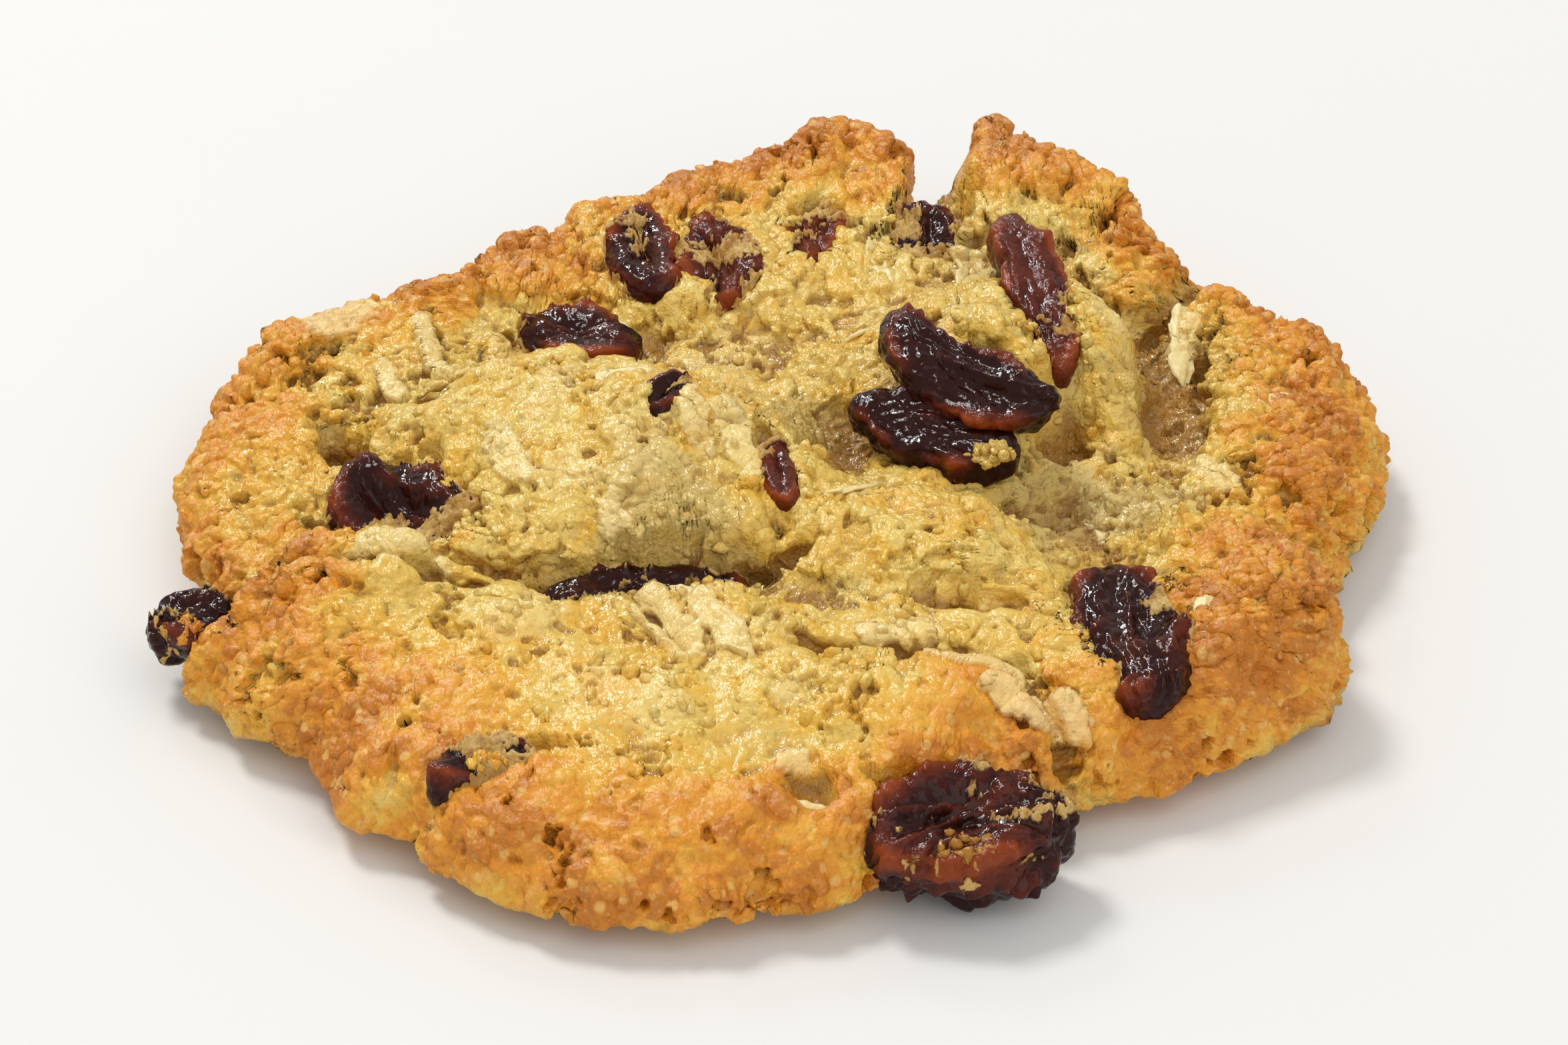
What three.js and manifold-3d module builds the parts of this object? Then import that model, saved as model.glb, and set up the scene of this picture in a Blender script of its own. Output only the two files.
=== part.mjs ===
// An oatmeal raisin cookie: one baked slab of dough with oat flakes stuck in it and sixteen
// raisins set in its crust. Millimetres, +Z up, resting on its own flat underside.
import * as THREE from 'three';
import { mergeVertices } from 'three/addons/utils/BufferGeometryUtils.js';
import Module from 'manifold-3d';

const wasm = await Module();
wasm.setup();

// ---------- sizes ----------
const MEAN_RADIUS = 40.0; // plan radius before the lobes of the edge
const CRUST_MIDDLE = 9.4; // height of the plain crust in the middle
const CRUST_EDGE = 8.0; // and where it starts to roll down
const WAIST = 2.4; // height of the lip, the widest line of the rim
const ROLL_TOP = 6.0; // plan width of the rim's shoulder, front and sides
const ROLL_TOP_BACK = 3.2; // the same at the back, where the rim is steep
const RECESS = 2.5; // how far the underside stands back below the lip
const RECESS_FRONT = 5.0; // the same round the front, where the edge lifts
const FLAT_SHARE = 0.72; // share of the grid spent on the top
const WAIST_SHARE = 0.91; // and on everything down to the waist
const GRID = 52; // cells along one side of the dough's grid
const FIT_GAP = 0.4; // room left round a raisin

// how far the edge reaches past the mean radius: angle deg, reach, width deg
const EDGE_LOBES = [
  { at: 5, reach: -0.6, width: 6 },
  { at: 16, reach: 4.2, width: 15 }, // right lobe
  { at: 21, reach: 0.9, width: 4.5 },
  { at: 36, reach: 2.2, width: 10 },
  { at: 51.5, reach: 0.8, width: 2.5 },
  { at: 57, reach: 3.0, width: 9 }, // raised lip at the back right
  { at: 68.5, reach: 4.8, width: 4.0 }, // its pointed end
  { at: 73.0, reach: -6.2, width: 1.4 }, // notch in the back edge
  { at: 76, reach: 0.6, width: 1.8 },
  { at: 82, reach: 4.6, width: 7 }, // knob at the back
  { at: 91.5, reach: 1.2, width: 4 },
  { at: 98, reach: 1.8, width: 8 },
  { at: 104, reach: -1.2, width: 4 },
  { at: 112, reach: 1.7, width: 2.6 },
  { at: 114, reach: -2.6, width: 13 }, // straight back-left side
  { at: 117.5, reach: -1.0, width: 3 },
  { at: 131, reach: -4.2, width: 8.5 },
  { at: 153.5, reach: 1.8, width: 3.5 }, // small knob
  { at: 158.5, reach: 1.5, width: 3 },
  { at: 170, reach: 1.5, width: 7 }, // left lobe
  { at: 189, reach: -1.8, width: 4 },
  { at: 197, reach: -1.4, width: 4 },
  { at: 202.5, reach: 2.2, width: 2.2 }, // flap of crumb under the left edge
  { at: 210, reach: 0.8, width: 3 },
  { at: 218, reach: -1.1, width: 3.2 },
  { at: 225, reach: -0.9, width: 6 },
  { at: 228, reach: 1.0, width: 2.5 },
  { at: 235, reach: -0.8, width: 3 },
  { at: 252, reach: 2.4, width: 17 }, // front
  { at: 299, reach: -5.4, width: 19 }, // bay of the front raisin
  { at: 303, reach: 1.0, width: 4 },
  { at: 316, reach: 0.6, width: 4 },
  { at: 324, reach: 0.9, width: 4 },
  { at: 333, reach: 1.8, width: 4.5 }, // corner at the lower right
  { at: 338.5, reach: 1.5, width: 3.5 },
  { at: 351, reach: -1.8, width: 8 },
];

// how much the edge of the crust stands up: angle deg, width deg, rise
const RIM_RISES = [
  { at: 126, width: 24, rise: 1.6 },
  { at: 83, width: 7.5, rise: 3.4 },
  { at: 76.0, width: 2.5, rise: 0.6 },
  { at: 102, width: 10, rise: 0.6 },
  { at: 56, width: 13, rise: 4.8 },
  { at: 65.5, width: 5.5, rise: 3.6 },
  { at: 31, width: 9, rise: 1.2 },
  { at: 153, width: 4, rise: 0.4 },
  { at: 178, width: 20, rise: -0.8 },
  { at: 338, width: 13, rise: 1.4 },
  { at: 255, width: 25, rise: -0.6 },
];

// rounded mounds and hollows of the crust: middle, half length, half width, turn deg, rise and
// steepness; one that leans is higher towards its back
const MOUNDS = [
  { x: -15.0, y: 0.0, long: 10.0, wide: 10.5, turn: -8, rise: 3.8, steep: 1.7, lean: 0.6 }, // big mound
  { x: -3.5, y: -2.5, long: 7.5, wide: 9.0, turn: -20, rise: 3.4, steep: 1.6, lean: 0.6 }, // its right part
  { x: -31.0, y: -15.0, long: 10.0, wide: 5.5, turn: 25, rise: 1.4, steep: 1.5 }, // front-left fold
  { x: -25.5, y: -2.5, long: 6.5, wide: 4.5, turn: -15, rise: -2.0, steep: 1.6 }, // left raisin's bed
  { x: 16.0, y: 13.0, long: 7.0, wide: 8.5, turn: 10, rise: 4.2, steep: 1.9 }, // lump behind the pair
  { x: 23.0, y: 12.5, long: 2.4, wide: 7.0, turn: 12, rise: 3.2, steep: 2.0 }, // its right ridge
  { x: 8.3, y: -9.5, long: 8.2, wide: 5.2, turn: 0, rise: 1.8, steep: 2.8 }, // golden patch
  { x: 21.0, y: -4.5, long: 4.8, wide: 9.5, turn: 10, rise: -2.8, steep: 1.4 }, // moist valley
  { x: 28.2, y: 9.0, long: 3.6, wide: 8.5, turn: -10, rise: -3.4, steep: 1.6 },
  { x: 4.5, y: 3.5, long: 3.2, wide: 4.5, turn: 0, rise: -2.4, steep: 1.3 },
  { x: -11.0, y: 16.8, long: 10.5, wide: 5.2, turn: -3, rise: -3.0, steep: 1.8 }, // back raisins' bed
  { x: 34.0, y: -16.5, long: 8.0, wide: 8.0, turn: 20, rise: 2.2, steep: 2.0 }, // lower right lobe
  { x: 38.0, y: 12.0, long: 7.0, wide: 13.0, turn: -5, rise: 0.9, steep: 1.5 }, // right lobe
  { x: 12.7, y: 36.0, long: 1.8, wide: 7.0, turn: -5, rise: -3.6, steep: 1.6 }, // notch
  { x: -5.0, y: -17.0, long: 6.5, wide: 3.6, turn: -12, rise: 1.0, steep: 2.2 }, // front slabs
  { x: -19.0, y: -16.0, long: 6.0, wide: 3.2, turn: -18, rise: 1.1, steep: 2.2 },
  { x: 17.4, y: 8.4, long: 4.4, wide: 1.7, turn: -48, rise: 2.0, steep: 2.2 }, // tongue beside the pair
  { x: -26.4, y: -12.2, long: 5.4, wide: 2.6, turn: -14, rise: 1.6, steep: 2.2 }, // slab by the left raisin
  { x: 8.0, y: -26.0, long: 11.0, wide: 5.0, turn: 0, rise: 1.2, steep: 1.8 }, // front band
];

// cracks between them: from, to, half width, depth
const CRACKS = [
  { from: [-22.0, -10.6], to: [-14.0, -12.2], wide: 1.6, deep: 2.4 },
  { from: [-14.0, -12.2], to: [-4.5, -12.4], wide: 2.0, deep: 3.2 }, // the big crack
  { from: [-4.5, -12.4], to: [2.0, -10.4], wide: 1.7, deep: 3.2 },
  { from: [-39.5, -8.6], to: [-29.0, -12.4], wide: 1.5, deep: 1.6 },
  { from: [-29.0, -12.4], to: [-19.0, -14.2], wide: 1.5, deep: 2.0 },
  { from: [2.5, -20.4], to: [16.5, -21.6], wide: 2.2, deep: 1.9 }, // second crack
  { from: [16.5, -21.6], to: [20.5, -31.0], wide: 2.0, deep: 1.6 },
  { from: [-9.0, -15.0], to: [-5.5, -21.0], wide: 1.4, deep: 1.2 },
  { from: [31.5, 25.5], to: [25.0, 16.0], wide: 1.6, deep: 3.2 },
  { from: [42.0, -3.5], to: [33.0, -6.5], wide: 1.5, deep: 1.6 },
  { from: [-24.0, 7.5], to: [-17.0, 12.0], wide: 1.4, deep: 1.4 },
  { from: [11.0, -14.4], to: [16.5, -14.8], wide: 1.4, deep: 1.2 },
];

// lumps of oats and crumb that stand out of the crust: cell size, height, seed
const LUMPS = [
  { size: 7.5, high: 1.5, seed: 3 },
  { size: 4.0, high: 0.8, seed: 8 },
];

// raisins: middle, length, width, thickness, then turn, tilt and roll in degrees
const RAISINS = [
  { name: 'raisin_left_edge', at: [-38.6, -12.4, 5.0], size: [6.2, 4.6, 4.0], turn: 25 },
  { name: 'raisin_left', at: [-24.7, -4.0, 7.9], size: [12, 8, 5], turn: -42, tilt: 8, roll: 20 },
  { name: 'raisin_back_tall', at: [-8.9, 27.2, 8.6], size: [11, 4.6, 5], turn: 98 },
  { name: 'raisin_back_low', at: [-13.4, 18.8, 6.8], size: [9, 5.2, 5], turn: -14 },
  { name: 'raisin_back_middle', at: [-3.5, 26.6, 8.0], size: [11, 5.8, 5], turn: 104 },
  { name: 'raisin_back_round', at: [3.2, 30.2, 8.0], size: [7.5, 4.4, 4], turn: 80 },
  { name: 'raisin_notch', at: [11.4, 30.6, 8.0], size: [8.5, 6, 4], turn: 95 },
  { name: 'raisin_back_right', at: [18.9, 16.6, 12.2], size: [17.5, 4.4, 4.6], turn: 102, tilt: -8 },
  { name: 'raisin_pair_upper', at: [13.5, 5.2, 13.6], size: [15.2, 5.6, 3.8], turn: -38, tilt: 6, roll: 24 },
  { name: 'raisin_pair_lower', at: [11.4, 2.0, 10.8], size: [12.5, 5.2, 3.8], turn: -26, tilt: 4, roll: 20 },
  { name: 'raisin_slit', at: [0.8, -4.0, 11.0], size: [7.5, 2.6, 4], turn: 98 },
  { name: 'raisin_mound', at: [-6.8, 1.2, 14.3], size: [5.0, 2.6, 3], turn: 65 },
  { name: 'raisin_crack', at: [-8.0, -12.2, 6.9], size: [15, 4.6, 4], turn: 2 },
  { name: 'raisin_right', at: [24.0, -18.2, 8.1], size: [14.5, 7.2, 4.6], turn: 103, roll: -8 },
  { name: 'raisin_front', at: [12.8, -34.8, 4.7], size: [13.6, 8.2, 6.6], turn: 8, roll: 10 },
  { name: 'raisin_front_left', at: [-18.0, -31.4, 7.0], size: [7.8, 3.4, 3.8], turn: 12 },
];
const RAISIN_ROUND = 12; // facets round a raisin
const RAISIN_ALONG = 8; // and from end to end

// oat flakes: rolled oats and torn strips of them, stuck in the crust
const FLAKE_THICK = 1.1;
const LOOSE_FLAKES = 6; // how many more lie about at random
// flakes with a place of their own: plan place, turn, length, width, lean deg, lift
const PLACED_FLAKES = [
  { at: [-23.8, 15.3], turn: -76, long: 9.4, wide: 1.5, lean: 25, lift: 0.4 },
  { at: [-26.4, 11.2], turn: -75, long: 6.6, wide: 1.5, lean: 20, lift: 0.5 },
  { at: [-30.0, 19.0], turn: 30, long: 6.4, wide: 3.4, lean: 10, lift: 0.3 },
  { at: [-2.1, -1.8], turn: -72, long: 7.4, wide: 2.4, lean: 20, lift: 0.4 },
  { at: [-5.0, -1.0], turn: -68, long: 6.0, wide: 1.8, lean: 25, lift: 0.3 },
  { at: [8.8, -19.2], turn: 10, long: 5.4, wide: 2.8, lean: 25, lift: 0.6 },
  { at: [13.9, -22.4], turn: -14, long: 7.0, wide: 3.2, lean: 12, lift: 0.5 },
  { at: [14.6, 23.0], turn: 95, long: 9.0, wide: 2.6, lean: 62, lift: 2.2 },
  { at: [29.4, 17.0], turn: 78, long: 6.0, wide: 2.0, lean: 30, lift: 0.4 },
  { at: [30.6, -0.4], turn: 115, long: 4.8, wide: 2.2, lean: 20, lift: 0.4 },
  { at: [-6.6, -18.6], turn: -64, long: 8.0, wide: 2.8, lean: 10, lift: 0.5 },
  { at: [-3.0, -19.2], turn: -60, long: 7.6, wide: 2.2, lean: 16, lift: 0.5 },
  { at: [-24.6, -12.6], turn: -14, long: 7.4, wide: 3.0, lean: 8, lift: 0.4 },
  { at: [17.6, -26.0], turn: -12, long: 7.4, wide: 2.8, lean: 14, lift: 0.5 },
  { at: [-17.6, -2.6], turn: -66, long: 6.4, wide: 2.2, lean: 20, lift: 0.4 },
  { at: [-10.1, -8.8], turn: -70, long: 5.0, wide: 1.6, lean: 12, lift: 0.4 },
  { at: [1.8, -31.4], turn: 10, long: 2.6, wide: 1.6, lean: 18, lift: 0.6 },
];

// ---------- small helpers ----------
const radians = THREE.MathUtils.degToRad;
const clamp = THREE.MathUtils.clamp;
const fract = (v) => v - Math.floor(v);
const bell = (gap, width, steep = 1) => Math.exp(-(((gap / width) ** 2) ** steep));
const angleGap = (angle, at) => ((THREE.MathUtils.radToDeg(angle) - at + 540) % 360 + 360) % 360 - 180;

// a number from 0 to 1 that belongs to one cell of a grid
function scatter(i, j, k, seed) {
  return fract(Math.sin(i * 12.9898 + j * 78.233 + k * 45.164 + seed * 37.719) * 43758.5453);
}

// rounded bumps, one a cell, that meet in creases: 1 on top, about 0 in a crease
function bumps(place, size, seed) {
  const cell = place.map((v) => Math.floor(v / size));
  let nearest = 9;
  for (let i = cell[0] - 1; i <= cell[0] + 1; i += 1) {
    for (let j = cell[1] - 1; j <= cell[1] + 1; j += 1) {
      for (let k = cell[2] - 1; k <= cell[2] + 1; k += 1) {
        const dx = place[0] / size - i - scatter(i, j, k, seed);
        const dy = place[1] / size - j - scatter(i, j, k, seed + 1);
        const dz = place[2] / size - k - scatter(i, j, k, seed + 2);
        nearest = Math.min(nearest, dx * dx + dy * dy + dz * dz);
      }
    }
  }
  return 1 - nearest;
}

// ---------- the form of the dough ----------
// plan radius of the cookie's edge at an angle
function edgeRadius(angle) {
  let radius = MEAN_RADIUS;
  for (const lobe of EDGE_LOBES) {
    radius += lobe.reach * bell(angleGap(angle, lobe.at), lobe.width);
  }
  return radius;
}

// how far the rim stands up at an angle, fading in towards the edge
function rimRise(angle, outward) {
  let rise = 0;
  for (const part of RIM_RISES) {
    rise += part.rise * bell(angleGap(angle, part.at), part.width);
  }
  return rise * THREE.MathUtils.smoothstep(outward, 0.68, 0.92);
}

// height of one mound or hollow at a place
function moundHeight(mound, x, y) {
  const turn = radians(mound.turn);
  const dx = x - mound.x;
  const dy = y - mound.y;
  const along = (dx * Math.cos(turn) + dy * Math.sin(turn)) / mound.long;
  const across = (dy * Math.cos(turn) - dx * Math.sin(turn)) / mound.wide;
  const rise = mound.rise * (1 + (mound.lean ?? 0) * clamp(across, -1.2, 1.2));
  return rise * bell(Math.hypot(along, across), 1, mound.steep);
}

// depth of one crack at a place, by the distance to its line
function crackDepth(crack, x, y) {
  const dx = crack.to[0] - crack.from[0];
  const dy = crack.to[1] - crack.from[1];
  const share = ((x - crack.from[0]) * dx + (y - crack.from[1]) * dy) / (dx * dx + dy * dy);
  const t = clamp(share, 0, 1);
  return crack.deep * bell(Math.hypot(x - crack.from[0] - t * dx, y - crack.from[1] - t * dy), crack.wide);
}

// height of the whole crust above the underside, before cracks and before the roll of the rim
function wholeHeight(x, y) {
  const angle = Math.atan2(y, x);
  const outward = clamp(Math.hypot(x, y) / edgeRadius(angle), 0, 1);
  let height = CRUST_MIDDLE - (CRUST_MIDDLE - CRUST_EDGE) * outward ** 4;
  height += rimRise(angle, outward);
  for (const mound of MOUNDS) {
    height += moundHeight(mound, x, y);
  }
  return height;
}

// and with the cracks
function crustHeight(x, y) {
  return CRACKS.reduce((height, crack) => height - crackDepth(crack, x, y), wholeHeight(x, y));
}

// a square -1..1 bent into a disc: how far out, and at what angle
function squareToDisc(a, b) {
  const ring = Math.max(Math.abs(a), Math.abs(b));
  if (ring === 0) {
    return { ring: 0, angle: 0 };
  }
  if (Math.abs(a) >= Math.abs(b)) {
    return { ring, angle: (Math.PI / 4) * (b / a) + (a < 0 ? Math.PI : 0) };
  }
  return { ring, angle: Math.PI / 2 - (Math.PI / 4) * (a / b) + (b < 0 ? Math.PI : 0) };
}

// one point of the plain skin: flat top, shoulder down to the lip, then a recess below it
function smoothPoint(a, b) {
  const { ring, angle } = squareToDisc(a, b);
  const radius = edgeRadius(angle);
  const shoulder = ROLL_TOP - (ROLL_TOP - ROLL_TOP_BACK) * bell(angleGap(angle, 95), 62, 2);
  const recess = RECESS + (RECESS_FRONT - RECESS) * bell(angleGap(angle, 262), 100, 2);
  let reach = (ring / FLAT_SHARE) * (radius - shoulder);
  let lift = 1;
  if (ring > FLAT_SHARE && ring <= WAIST_SHARE) {
    const roll = (Math.PI / 2) * ((ring - FLAT_SHARE) / (WAIST_SHARE - FLAT_SHARE));
    reach = radius - shoulder + shoulder * Math.sin(roll);
    lift = Math.cos(roll);
  } else if (ring > WAIST_SHARE) {
    const under = (ring - WAIST_SHARE) / (1 - WAIST_SHARE);
    reach = radius - recess * under ** 0.8;
    lift = -(under ** 1.25);
  }
  const x = reach * Math.cos(angle);
  const y = reach * Math.sin(angle);
  const z = lift >= 0 ? WAIST + (crustHeight(x, y) - WAIST) * lift : WAIST + WAIST * lift;
  return new THREE.Vector3(x, y, ring === 1 ? 0 : z);
}

// the same point pushed out along its normal by the lumps, which fade out towards the underside
function doughPoint(a, b) {
  const point = smoothPoint(a, b);
  const step = 0.5 / GRID;
  const along = smoothPoint(a + step, b).sub(smoothPoint(a - step, b));
  const across = smoothPoint(a, b + step).sub(smoothPoint(a, b - step));
  const normal = along.cross(across).normalize();
  const ring = Math.max(Math.abs(a), Math.abs(b));
  const fade = 1 - THREE.MathUtils.smoothstep(ring, 0.93, 1);
  for (const layer of LUMPS) {
    const bump = bumps(point.toArray(), layer.size, layer.seed) - 0.65;
    point.addScaledVector(normal, layer.high * bump * fade * (1.2 - 0.6 * ring));
  }
  return point;
}

// ---------- solids ----------
function toSolid(geometry) {
  geometry.deleteAttribute('normal');
  geometry.deleteAttribute('uv');
  const merged = mergeVertices(geometry, 1e-4);
  const vertProperties = new Float32Array(merged.attributes.position.array);
  const triVerts = new Uint32Array(merged.index.array);
  return new wasm.Manifold(new wasm.Mesh({ numProp: 3, vertProperties, triVerts }));
}

function toGeometry(solid) {
  const mesh = solid.getMesh();
  const geometry = new THREE.BufferGeometry();
  const places = new Float32Array(mesh.numVert * 3);
  for (let v = 0; v < mesh.numVert; v += 1) {
    for (let k = 0; k < 3; k += 1) {
      places[v * 3 + k] = mesh.vertProperties[v * mesh.numProp + k];
    }
  }
  geometry.setAttribute('position', new THREE.BufferAttribute(places, 3));
  geometry.setIndex(new THREE.BufferAttribute(new Uint32Array(mesh.triVerts), 1));
  return geometry;
}

// the dough's skin on a square grid, closed below by a flat fan
function buildDough() {
  const places = [];
  for (let i = 0; i <= GRID; i += 1) {
    for (let j = 0; j <= GRID; j += 1) {
      places.push(...doughPoint((2 * i) / GRID - 1, (2 * j) / GRID - 1).toArray());
    }
  }
  const at = (i, j) => i * (GRID + 1) + j;
  const faces = [];
  for (let i = 0; i < GRID; i += 1) {
    for (let j = 0; j < GRID; j += 1) {
      faces.push(at(i, j), at(i + 1, j), at(i + 1, j + 1));
      faces.push(at(i, j), at(i + 1, j + 1), at(i, j + 1));
    }
  }
  const border = [];
  for (let k = 0; k < GRID; k += 1) {
    border.push(at(k, 0));
  }
  for (let k = 0; k < GRID; k += 1) {
    border.push(at(GRID, k));
  }
  for (let k = GRID; k > 0; k -= 1) {
    border.push(at(k, GRID));
  }
  for (let k = GRID; k > 0; k -= 1) {
    border.push(at(0, k));
  }
  const middle = places.length / 3;
  places.push(0, 0, 0);
  for (let k = 0; k < border.length; k += 1) {
    faces.push(middle, border[(k + 1) % border.length], border[k]);
  }
  const geometry = new THREE.BufferGeometry();
  geometry.setAttribute('position', new THREE.Float32BufferAttribute(places, 3));
  geometry.setIndex(faces);
  return toSolid(geometry);
}

// a raisin: a flattened, wrinkled ellipsoid pinched towards its ends
function buildRaisin(raisin, seed, grow) {
  const geometry = new THREE.SphereGeometry(1, RAISIN_ROUND, RAISIN_ALONG);
  geometry.rotateZ(-Math.PI / 2);
  const spots = geometry.attributes.position;
  for (let k = 0; k < spots.count; k += 1) {
    const [x, y, z] = [spots.getX(k), spots.getY(k), spots.getZ(k)];
    const round = Math.atan2(z, y);
    const creases = Math.cos(round * 4 + seed + 1.5 * Math.sin(2.2 * x + seed));
    const puff = 1 - 0.07 * (1 + creases) * (1 - x * x) - 0.05 * Math.sin(5 * x + seed * 2);
    spots.setXYZ(
      k,
      x * (raisin.size[0] / 2 + grow),
      y * (puff * raisin.size[1] / 2 + grow),
      z * (puff * raisin.size[2] / 2 + grow),
    );
  }
  geometry.rotateX(radians(raisin.roll ?? 0));
  geometry.rotateY(radians(raisin.tilt ?? 0));
  geometry.rotateZ(radians(raisin.turn));
  geometry.translate(...raisin.at);
  return toSolid(geometry);
}

// an oat flake: a thin oval, leaned and sunk into the crust
function buildFlake(flake) {
  const geometry = new THREE.SphereGeometry(1, 7, 4);
  geometry.rotateX(Math.PI / 2);
  geometry.scale(flake.long / 2, flake.wide / 2, FLAKE_THICK / 2);
  geometry.rotateX(radians(flake.lean));
  geometry.rotateZ(radians(flake.turn));
  const [x, y] = flake.at;
  const sink = 0.3 * flake.wide * Math.sin(radians(flake.lean));
  geometry.translate(x, y, wholeHeight(x, y) - sink + 0.5 * flake.lift);
  return toSolid(geometry);
}

// flakes scattered over the crust between the rim and the middle, clear of the raisins
function scatterFlakes() {
  const flakes = [];
  for (let k = 0; flakes.length < LOOSE_FLAKES; k += 1) {
    const reach = 33 * Math.sqrt(scatter(k, 1, 0, 5));
    const angle = 2 * Math.PI * scatter(k, 2, 0, 5);
    const at = [reach * Math.cos(angle), reach * Math.sin(angle)];
    const clear = RAISINS.every((raisin) => (
      Math.hypot(at[0] - raisin.at[0], at[1] - raisin.at[1]) > raisin.size[0] / 2 + 3.0
    ));
    if (clear) {
      const turn = 360 * scatter(k, 3, 0, 5);
      flakes.push({ at, turn, long: 5.5, wide: 2.6, lean: 40 * scatter(k, 4, 0, 5), lift: 0.4 });
    }
  }
  return flakes;
}

// the whole baked slab: dough, flakes fused to it, a pocket for every raisin, no loose crumbs
function buildCookie() {
  let solid = buildDough();
  for (const flake of [...PLACED_FLAKES, ...scatterFlakes()]) {
    solid = solid.add(buildFlake(flake));
  }
  for (const [k, raisin] of RAISINS.entries()) {
    solid = solid.subtract(buildRaisin(raisin, k, FIT_GAP));
  }
  const bodies = solid.decompose();
  return bodies.reduce((best, body) => (body.volume() > best.volume() ? body : best));
}

// raisins that lean on one another: the lower one gives way to the upper
function buildRaisins() {
  const solids = RAISINS.map((raisin, k) => buildRaisin(raisin, k, 0));
  for (let k = 1; k < solids.length; k += 1) {
    for (let m = 0; m < k; m += 1) {
      solids[k] = solids[k].subtract(buildRaisin(RAISINS[m], m, FIT_GAP));
    }
    solids[k] = solids[k].decompose().reduce((best, body) => (body.volume() > best.volume() ? body : best));
  }
  return solids;
}

// ---------- assembly ----------
const group = new THREE.Group();
group.name = 'oatmeal_raisin_cookie';

const crust = new THREE.Mesh(
  toGeometry(buildCookie()),
  new THREE.MeshStandardMaterial({ name: 'baked_dough', color: '#d1963f', roughness: 0.75 }),
);
crust.name = 'cookie';
group.add(crust);

const raisinSolids = buildRaisins();
for (const [k, raisin] of RAISINS.entries()) {
  const mesh = new THREE.Mesh(
    toGeometry(raisinSolids[k]),
    new THREE.MeshStandardMaterial({ name: `${raisin.name}_skin`, color: '#3a1610', roughness: 0.35 }),
  );
  mesh.name = raisin.name;
  group.add(mesh);
}

// stand the whole thing with the middle of its box at the origin
const box = new THREE.Box3().setFromObject(group);
for (const mesh of group.children) {
  mesh.geometry.translate(-(box.min.x + box.max.x) / 2, -(box.min.y + box.max.y) / 2, -box.min.z);
}

export default group;
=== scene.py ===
import bpy
import numpy as np
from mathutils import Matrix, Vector


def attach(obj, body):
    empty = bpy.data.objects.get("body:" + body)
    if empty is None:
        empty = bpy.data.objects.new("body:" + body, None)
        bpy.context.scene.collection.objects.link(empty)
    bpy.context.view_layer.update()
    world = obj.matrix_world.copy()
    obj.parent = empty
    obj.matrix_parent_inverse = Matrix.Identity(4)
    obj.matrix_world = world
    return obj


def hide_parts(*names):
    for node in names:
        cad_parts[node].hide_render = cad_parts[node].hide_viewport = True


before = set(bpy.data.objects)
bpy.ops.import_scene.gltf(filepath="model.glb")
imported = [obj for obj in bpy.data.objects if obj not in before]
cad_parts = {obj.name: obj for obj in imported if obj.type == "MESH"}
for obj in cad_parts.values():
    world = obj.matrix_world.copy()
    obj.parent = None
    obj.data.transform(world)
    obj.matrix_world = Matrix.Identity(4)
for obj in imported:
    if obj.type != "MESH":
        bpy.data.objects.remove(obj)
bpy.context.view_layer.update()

# The dough: one slab of oatmeal dough baked until its edge browned and its middle cracked.
# Its plan outline, rim, mounds, cracks and lumps are those of the solid, in millimetres
# round the same middle; SHIFT carries that middle to where the solid stands.
SHIFT = (-0.79, -1.40)
MEAN_RADIUS = 40.0
CRUST_MIDDLE, CRUST_EDGE, WAIST = 9.4, 8.0, 2.4  # heights of the crust and of the lip
ROLL_TOP, ROLL_TOP_BACK = 6.0, 3.2  # radius of the shoulder, and the same at the back
RECESS, RECESS_FRONT = 2.5, 5.0  # how far the side runs in below the lip, and the same at the front
BACK_STRETCH, FRONT_STRETCH = (95, 62), (262, 100)  # where those second values hold: middle, half width deg
FLAT_SHARE, WAIST_SHARE = 0.72, 0.91  # rings of the grid where the shoulder begins and where it ends
WIDE_LOBE, INNER_RING = 7, 0.36  # the grid inside this ring follows only lobes wider than this many degrees
RISE_FROM, RISE_TO = 0.68, 0.92  # shares of the radius over which the rim's rises come up
CRACK_DIP = 0.6  # share of a crack's depth that is a broad dip
EDGE_LOBES = (  # angle deg, reach, width deg
    (5, -0.6, 6), (16, 4.2, 15), (21, 0.9, 4.5), (36, 2.2, 10), (51.5, 0.8, 2.5), (57, 3.0, 9),
    (68.5, 4.8, 4.0), (73.0, -6.2, 1.4), (76.0, 0.6, 1.8), (82, 4.6, 7), (91.5, 1.2, 4), (98, 1.8, 8),
    (104, -1.2, 4), (112, 1.7, 2.6), (114, -2.6, 13), (117.5, -1.0, 3), (131, -4.2, 8.5), (153.5, 1.8, 3.5),
    (158.5, 1.5, 3), (170, 1.5, 7), (189, -1.8, 4), (197, -1.4, 4), (202.5, 2.2, 2.2), (210, 0.8, 3),
    (218, -1.1, 3.2), (225, -0.9, 6), (228, 1.0, 2.5), (235, -0.8, 3), (252, 2.4, 17), (299, -5.4, 19),
    (303, 1.0, 4), (316, 0.6, 4), (324, 0.9, 4), (333, 1.8, 4.5), (338.5, 1.5, 3.5), (351, -1.8, 8),
)
RIM_RISES = (  # angle deg, width deg, rise
    (126, 24, 1.6), (83, 7.5, 3.4), (76.0, 2.5, 0.6), (102, 10, 0.6), (56, 13, 4.8), (65.5, 5.5, 3.6),
    (31, 9, 1.2), (153, 4, 0.4), (178, 20, -0.8), (338, 13, 1.4), (255, 25, -0.6),
)
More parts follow.
